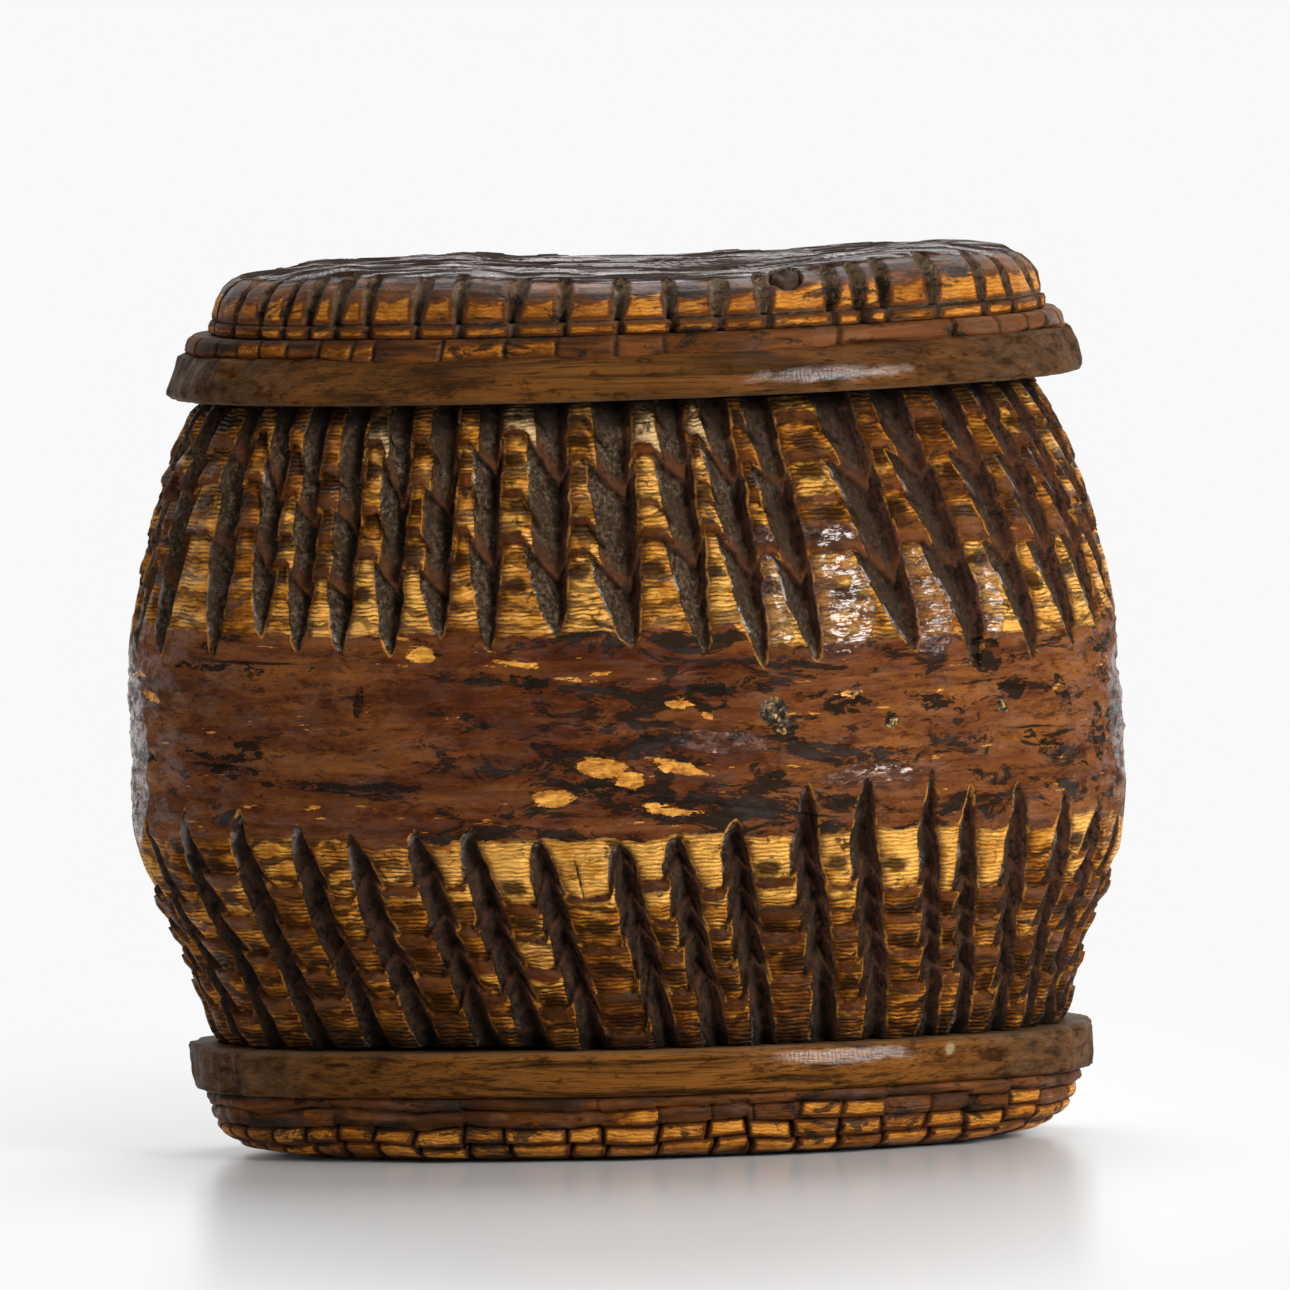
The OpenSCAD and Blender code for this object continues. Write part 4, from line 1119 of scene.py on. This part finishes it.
def bark_body():
    look = Look("bark_body")
    fray = look.noise((0.6, 0.6, 1.5), 6, 0.72, 1) - 0.5
    mottle = look.noise((0.4, 0.4, 0.9), 8, 0.74, 15, 0.3)
    fine = look.noise((0.8, 0.8, 4.2), 5, 0.7, 4)
    left, cut_in, shave_in, band = (look.value(name) for name in ("left", "cut", "shave", "band"))
    gold, lines = shaved_layers(look)
    skin, soot = polished_skin(look, fray, mottle, fine)
    walls, grit, clots, dusty = cut_walls(look, fray, mottle, left)
    # Dark between the rows of a band
    between_rows = look.ramp(mottle, (0.36, SOOT), (0.5, LAYER_BROWN), (0.62, SKIN_RED), (0.7, SKIN_TAN))
    skin = look.paint(skin, (look.step(band, 0.4, 1.6) * 0.6, between_rows))
    # Shaved faces, brown towards the steps and the cuts, with burnt spots. Towards the cuts the brown is
    # wider on the side
    # of each ridge away from the lamps: partly the bark's layers, partly painted shade
    shaved = look.step(shave_in + fray * 1.3, -0.03, 0.05)
    to_cut = cut_in + (fray * 0.9 + look.blend(left, 0.75, 0.2))
    gold = look.paint(gold, (look.step(to_cut, 0.0, 0.7) * 0.85, LAYER_BROWN),
                      (look.step(shave_in + fray * 0.8, 0.45, 0.0) * 0.6, LAYER_BROWN),
                      (look.step(look.value("burn") + fray * 1.4, -0.1, 0.5) * 0.92, LAYER_DARK))
    # Polished places, cuts with bright edges, and marks. The bright edges are partly wear and partly a
    # painted highlight, stronger on the side of each ridge that faces the lamps
    polish = look.step(look.math("MINIMUM", look.value("polish"), 0.45) + fray * 3.0, 0.0, 0.45)
    polish = polish * look.step(mottle, 0.38, 0.48)
    cut = look.step(cut_in + fray * 0.45, -0.02, 0.14)
    # Bright line along the edges of the cuts: partly wear, partly painted highlight
    wear_and_highlight = look.step(look.math("ABSOLUTE", cut_in + fray * 0.5), 0.2, 0.06)
    wear_and_highlight = wear_and_highlight * look.step(look.noise((0.5, 0.5, 0.5), 4, 0.6, 37), 0.48, 0.58)
    wear_and_highlight = wear_and_highlight * (look.step(band, -7.0, -5.0) * look.blend(left, 0.5, 0.75))
    flake = look.step(look.value("flake") + fray * 1.4, 0.0, 0.05) * (1.0 - cut)
    flake_colour = look.ramp(mottle, (0.4, SKIN_ORANGE), (0.5, GOLD), (0.6, GOLD_PALE))
    ragged = fray * 1.6 + (mottle - 0.5) * 2.6
    stain = look.step(look.math("MINIMUM", look.value("stain"), 0.16) + ragged, 0.05, 0.14) * (1.0 - flake)
    crust = look.step(look.value("crust") + fray * 1.6, 0.0, 0.15)
    crust_spots = look.noise((1.2, 1.2, 1.2), 5, 0.7, 17)
    crust_colour = look.ramp(crust_spots, (0.44, SOOT), (0.54, GROOVE_GREY), (0.66, GOLD_PALE))
    crack = look.step(look.value("crack") + fray * 0.2, -0.04, 0.05)
    # Darker towards the rims, and plain end grain inside
    rim_darkening = look.step(look.value("rim") + fray * 9.0, 3.2, 0.2)
    end_grain = look.ramp(look.noise((0.9, 0.9, 0.05), 4, 0.6, 19), (0.35, SKIN_DARK), (0.6, SKIN_TAN))
    colour = look.paint(
        skin, (shaved, gold), (polish * 0.5, SKIN_RED), (flake, flake_colour), (cut, walls), (wear_and_highlight, GOLD),
        (stain * 0.94, SOOT), (crust, crust_colour), (crack * 0.92, SOOT), (rim_darkening * 0.85, GROOVE_DARK),
        (look.value("inner"), end_grain))
    # Gloss lies in patches of the skin and the shaved faces, and along the lit edges of the cuts
    patch = look.step(look.noise((0.25, 0.25, 0.6), 6, 0.7, 27), 0.46, 0.6)
    first_stroke = look.step(look.value("ledge"), -2.0, -2.9)
    edge_shine = look.step(cut_in, 0.8, 0.3) * (left * first_stroke)
    edge_shine = edge_shine * look.step(look.noise((0.3, 0.3, 0.4), 5, 0.65, 33), 0.44, 0.54)
    cut_gloss = look.blend(edge_shine, look.blend(grit, 0.2, 0.02), 1.0)
    gloss = look.blend(patch, 0.02, look.blend(shaved, 0.13, look.blend(dusty, 0.08, 0.28)))
    gloss = look.blend(cut, look.blend(polish, gloss, 0.75), cut_gloss) * (1.0 - stain * 0.8)
    roughness = look.blend(polish, look.blend(patch, 0.5, look.blend(fine, 0.2, 0.4)), 0.17)
    roughness = look.blend(cut, roughness, look.blend(edge_shine, look.blend(grit, 0.45, 0.8), 0.22))
    height = look.blend(shaved, mottle * 1.4 + fine * 0.5, lines * 0.7 + mottle * 1.1)
    height = height * look.blend(polish, 1.0, 0.16)
    height = look.blend(cut, height, (grit + clots) * look.blend(edge_shine, 3.4, 0.4)) - soot * 0.3
    return look.finish(colour, roughness, gloss, height, BARK_BUMP)


def groove_dirt(look, dusty):
    """Colour of the floor of a notch, from dark brown to dusty grey, and its grit."""
    fine = look.noise((1.7, 1.7, 1.4), 6, 0.75, 5)
    broad = look.noise((0.5, 0.5, 0.4), 5, 0.65, 9)
    plain = look.paint(GROOVE_DARK, (look.step(broad, 0.3, 0.5), FACING_DARK))
    pale = look.paint(GROOVE_BROWN, (look.step(broad, 0.36, 0.6), NOTCH_GREY))
    dirt = look.paint(plain, (dusty, pale), (look.step(fine, 0.47, 0.38) * 0.7, GROOVE_DARK),
                      (look.step(fine, 0.57, 0.66) * dusty, GROOVE_DUST))
    return dirt, fine


def bark_facing():
    """Bark of the cap, the strip and the sole: amber where it is cut, red-brown elsewhere, dark on top."""
    look = Look("bark_facing")
    fray = look.noise((0.7, 0.7, 1.6), 5, 0.7, 1) - 0.5
    mottle = look.noise((0.45, 0.45, 0.9), 7, 0.72, 15, 0.3)
    fine = look.noise((0.5, 0.5, 2.4), 5, 0.65, 4)
    streak = look.noise((0.1, 0.1, 0.9), 5, 0.6, 2, 0.3)
    lines = look.lines(2.6, 8.0)
    gold_in = look.value("gold")
    # Blocks darker towards their edges: partly their brown edges, partly painted shade that makes them look
    # rounded
    within = look.step(gold_in + fray * 0.5, 0.0, 0.45)
    shade = mottle + (look.value("block") - 0.5) * 0.3 + (within - 0.8) * 0.55
    amber = look.ramp(shade, (0.27, LAYER_BROWN), (0.42, AMBER_DEEP), (0.57, AMBER), (0.76, GOLD))
    amber = look.paint(amber, (look.step(lines, 0.4, 0.1) * 0.42, LAYER_BROWN))
    red = look.ramp(streak, (0.3, SOOT), (0.48, FACING_DARK), (0.6, FACING_RED), (0.76, SKIN_TAN))
    shaved = look.step(gold_in + fray * 0.6, -0.04, 0.08)
    # The top, dark from wear, grey where its sheen lies: partly a grey bloom of the bark, partly painted
    # sheen
    along = look.noise((0.06, 0.7, 0.4), 6, 0.65, 6, 0.4)
    top_colour = look.ramp(along, (0.3, SOOT), (0.5, TOP_PURPLE), (0.68, SKIN_DARK), (0.8, TOP_GREY))
    top = look.step(look.value("top") + fray * 0.9, 0.25, 0.5)
    sheen = look.step(along, 0.48, 0.6)
    dirt, grit = groove_dirt(look, look.value("dusty"))
    cut = look.step(look.value("cut") + fray * 0.3, -0.03, 0.16)
    soot = look.step(look.noise((0.22, 0.22, 0.5), 7, 0.75, 13, 0.6), 0.55, 0.6)
    colour = look.paint(red, (look.value("tan"), SKIN_TAN), (shaved, amber), (top, top_colour),
                        (cut * 0.85, dirt), (soot * 0.85, SOOT))
    glossy = look.step(look.noise((0.25, 0.25, 0.5), 5, 0.65, 27) + look.value("polish"), 0.75, 1.1)
    roughness = look.blend(glossy, 0.5, look.blend(fine, 0.25, 0.42))
    roughness = look.blend(cut, look.blend(top, roughness, look.blend(sheen, 0.55, 0.2)), 0.7)
    gloss = look.blend(top, look.blend(glossy, 0.04, 0.28), look.blend(sheen, 0.02, 0.8))
    height = look.blend(shaved, mottle * 1.2 + fine * 0.4, lines * 0.4 + mottle * 0.9)
    height = look.blend(cut, look.blend(top, height, along * 2.0), grit * 2.0)
    return look.finish(colour, roughness, look.blend(cut, gloss, 0.06), height, BARK_BUMP)


def board_wood():
    look = Look("board_wood")
    grain = look.noise((0.05, 0.5, 1.1), 6, 0.65, 1, 0.6)
    pores = look.noise((0.12, 2.4, 4.4), 4, 0.65, 3)
    mottle = look.noise((0.4, 0.4, 0.9), 6, 0.7, 15, 0.3)
    warm = look.noise((0.04, 0.2, 0.3), 4, 0.6, 8)
    uneven = mottle - 0.5
    # Grey along the wide edge: partly wear, partly a painted highlight on its bevel
    wear_and_highlight = look.step(look.value("wear_and_highlight") + uneven, 0.5, 0.95)
    wax = look.step(look.value("wax") + uneven * 0.5, 0.0, 0.1)
    polish = look.step(look.value("polish") + uneven * 0.35, 0.0, 0.12)
    hewn = look.ramp(mottle, (0.4, BOARD_DARK), (0.65, BOARD_GREY))
    colour = look.ramp(grain, (0.32, BOARD_DARK), (0.5, BOARD_OLIVE), (0.68, BOARD_WARM))
    colour = look.paint(
        colour, (look.step(warm, 0.46, 0.6) * 0.7, BOARD_WARM),
        (look.value("warm") * look.step(grain, 0.36, 0.56), BOARD_AMBER),
        (look.step(pores, 0.52, 0.66) * 0.8, BOARD_DARK), (look.step(mottle, 0.47, 0.36) * 0.75, BOARD_DARK),
        (look.value("rough") * 0.45, hewn), (wear_and_highlight * 0.4, BOARD_GREY), (wax * 0.65, WAX))
    chatter = look.waves("X", look.stretched(1.0, 1.0, 0.8), 0.75, 8.0, 2.0, 0.5)
    gloss = look.blend(polish, look.blend(mottle, 0.0, 0.08), 0.8)
    roughness = look.blend(polish, look.blend(pores, 0.38, 0.62), 0.3)
    height = grain * 0.9 + pores * 0.6 + mottle * 0.8 + polish * (chatter * 0.13)
    return look.finish(colour, roughness, gloss, height, BOARD_BUMP)


def plain_wood(name, pale, dark, cells):
    """Cut wood of the plugs and pegs, with grain along one way."""
    look = Look(name)
    grain = look.noise(cells, 6, 0.62, 1, 0.6)
    pores = look.noise([3 * c for c in cells], 4, 0.6, 3)
    colour = look.paint(look.ramp(grain, (0.3, dark), (0.6, pale)), (look.step(pores, 0.55, 0.7) * 0.6, dark))
    return look.finish(colour, look.blend(pores, 0.45, 0.7), 0.08, grain + pores, WOOD_BUMP)


def dress(piece, material):
    piece.data.materials.clear()
    piece.data.materials.append(material)


def put_on(piece, material, slot, body, *nodes):
    dress(piece, material)
    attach(piece, body)
    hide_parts(*nodes)


facing = bark_facing()
board = board_wood()
put_on(board_skin(LID_BOARD), board, "board_wood", "lid", "lid_board")
put_on(board_skin(BASE_BOARD), board, "board_wood", "box", "base_board")
put_on(body_skin(), bark_body(), "bark_body", "box", "body_shell")
put_on(cap_skin(), facing, "bark_facing", "lid", "lid_cap")
put_on(strip_skin(), facing, "bark_facing", "lid", "lid_strip")
put_on(sole_skin(), facing, "bark_facing", "box", "base_sole")
plug_look = plain_wood("plug_wood", PLUG_TAN, PLUG_DARK, (0.05, 0.9, 0.9))
peg_look = plain_wood("peg_wood", PEG_BROWN, SOOT, (0.9, 0.9, 0.2))
for peg in peg_skin():
    put_on(peg, peg_look, "peg_wood", "lid", "lid_cap_pegs")
for node in ("base_plug", "lid_plug"):
    dress(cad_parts[node], plug_look)
for node in ("base_plug_pegs", "sole_pegs", "lid_plug_pegs"):
    dress(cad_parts[node], peg_look)

# Camera: a long lens a little above the box, rolled by a degree and a half
PHOTO_PX = 1290
SENSOR_MM = 36.0
PX_PER_MM = 10.815
CAMERA_DISTANCE = 4000.0
CAMERA_UP = math.radians(3.9)
CAMERA_ROLL = math.radians(1.5)
CAMERA_REACH = 20.0
AIM = Vector((1.95, 0.0, 45.9))
camera = bpy.data.objects.new("camera", bpy.data.cameras.new("camera"))
bpy.context.scene.collection.objects.link(camera)
camera.data.sensor_width = SENSOR_MM
camera.data.lens = SENSOR_MM * PX_PER_MM * CAMERA_DISTANCE / PHOTO_PX
camera.data.clip_end = CAMERA_REACH
away = Vector((0, -math.cos(CAMERA_UP), math.sin(CAMERA_UP))) * CAMERA_DISTANCE
facing_box = (-away).to_track_quat("-Z", "Y").to_matrix().to_4x4()
camera.matrix_world = (Matrix.Translation((AIM + away) * MM) @ facing_box
                       @ Matrix.Rotation(-CAMERA_ROLL, 4, "Z"))
bpy.context.scene.camera = camera

LAMP_AIM = Vector((0, 0, 0.04))


def lamp(name, azimuth, elevation, distance, size, power):
    """A square soft lamp that faces the box. Azimuth 0 is the front and 90 the right; distances in metres."""
    data = bpy.data.lights.new(name, "AREA")
    data.size = size
    data.energy = power
    light = bpy.data.objects.new(name, data)
    bpy.context.scene.collection.objects.link(light)
    a, e = math.radians(azimuth), math.radians(elevation)
    way = Vector((math.sin(a) * math.cos(e), -math.cos(a) * math.cos(e), math.sin(e)))
    light.location = way * distance + LAMP_AIM
    light.rotation_euler = (-way).to_track_quat("-Z", "Y").to_euler()


lamp("key", 42, 21, 1.0, 0.5, 11.5)
lamp("fill", -52, 14, 1.2, 1.0, 3.4)
lamp("top", 168, 62, 1.1, 0.6, 7.8)
lamp("side", 76, 20, 1.0, 0.3, 2.7)

# World: a bright wall behind the box and a dim room before it, and white where the camera looks past the box
WHITE = 0.947
ROOM_DIM = 0.09
WALL_BRIGHT = 0.95
WALL_FROM = 0.05
WALL_FULL = 0.35


def grey(value):
    return (value, value, value)


def studio_world():
    world = bpy.data.worlds.new("studio")
    bpy.context.scene.world = world
    sky = Tree(world)
    way = sky.wire("Y", "ShaderNodeSeparateXYZ", {"Vector": sky.wire("Generated", "ShaderNodeTexCoord")})
    behind = sky.step(way, WALL_FROM, WALL_FULL)
    direct = sky.rays("Is Camera Ray", "Is Transmission Ray")
    seen = sky.math("MAXIMUM", direct, sky.rays("Is Glossy Ray") * behind)
    room, wall, white = (sky.wire(0, "ShaderNodeBackground", {"Color": grey(value)})
                         for value in (ROOM_DIM, WALL_BRIGHT, WHITE))
    sky.add("ShaderNodeOutputWorld", {"Surface": sky.mixed(seen, sky.mixed(behind, room, wall), white)})


# Floor: pale and glossy near the box, white like the background further off. Lengths are in metres
FLOOR_HALF = 1.5
FLOOR_DROP = 0.0002
FLOOR_GREY = 0.70
FLOOR_ROUGH = 0.22
GLOSS_HALF_X = 0.085
GLOSS_HALF_Y = 0.25
FADE_FROM = 0.4
FADE_TO = 1.0


def studio_floor():
    mesh = bpy.data.meshes.new("floor")
    signs = ((-1, -1), (1, -1), (1, 1), (-1, 1))
    mesh.from_pydata([(FLOOR_HALF * x, FLOOR_HALF * y, 0) for x, y in signs], [], [(0, 1, 2, 3)])
    floor = bpy.data.objects.new("floor", mesh)
    bpy.context.scene.collection.objects.link(floor)
    floor.location.z = -FLOOR_DROP
    ground = bpy.data.materials.new("floor")
    mesh.materials.append(ground)
    paint = Tree(ground)
    pale = {"Base Color": grey(FLOOR_GREY), "Roughness": FLOOR_ROUGH}
    surface = paint.wire(0, "ShaderNodeBsdfPrincipled", pale)
    glow = paint.wire(0, "ShaderNodeEmission", {"Color": grey(WHITE)})
    place = paint.wire("Object", "ShaderNodeTexCoord")
    spread = (1 / GLOSS_HALF_X, 1 / GLOSS_HALF_Y, 1)
    spot = paint.wire(0, "ShaderNodeMapping", {"Vector": place, "Scale": spread})
    reach = paint.wire("Value", "ShaderNodeVectorMath", {0: spot}, operation="LENGTH")
    seen = paint.rays("Is Camera Ray", "Is Transmission Ray", "Is Glossy Ray")
    seen = seen * paint.step(reach, FADE_FROM, FADE_TO)
    paint.add("ShaderNodeOutputMaterial", {"Surface": paint.mixed(seen, surface, glow)})


studio_world()
studio_floor()
bpy.context.scene.view_settings.view_transform = "Standard"
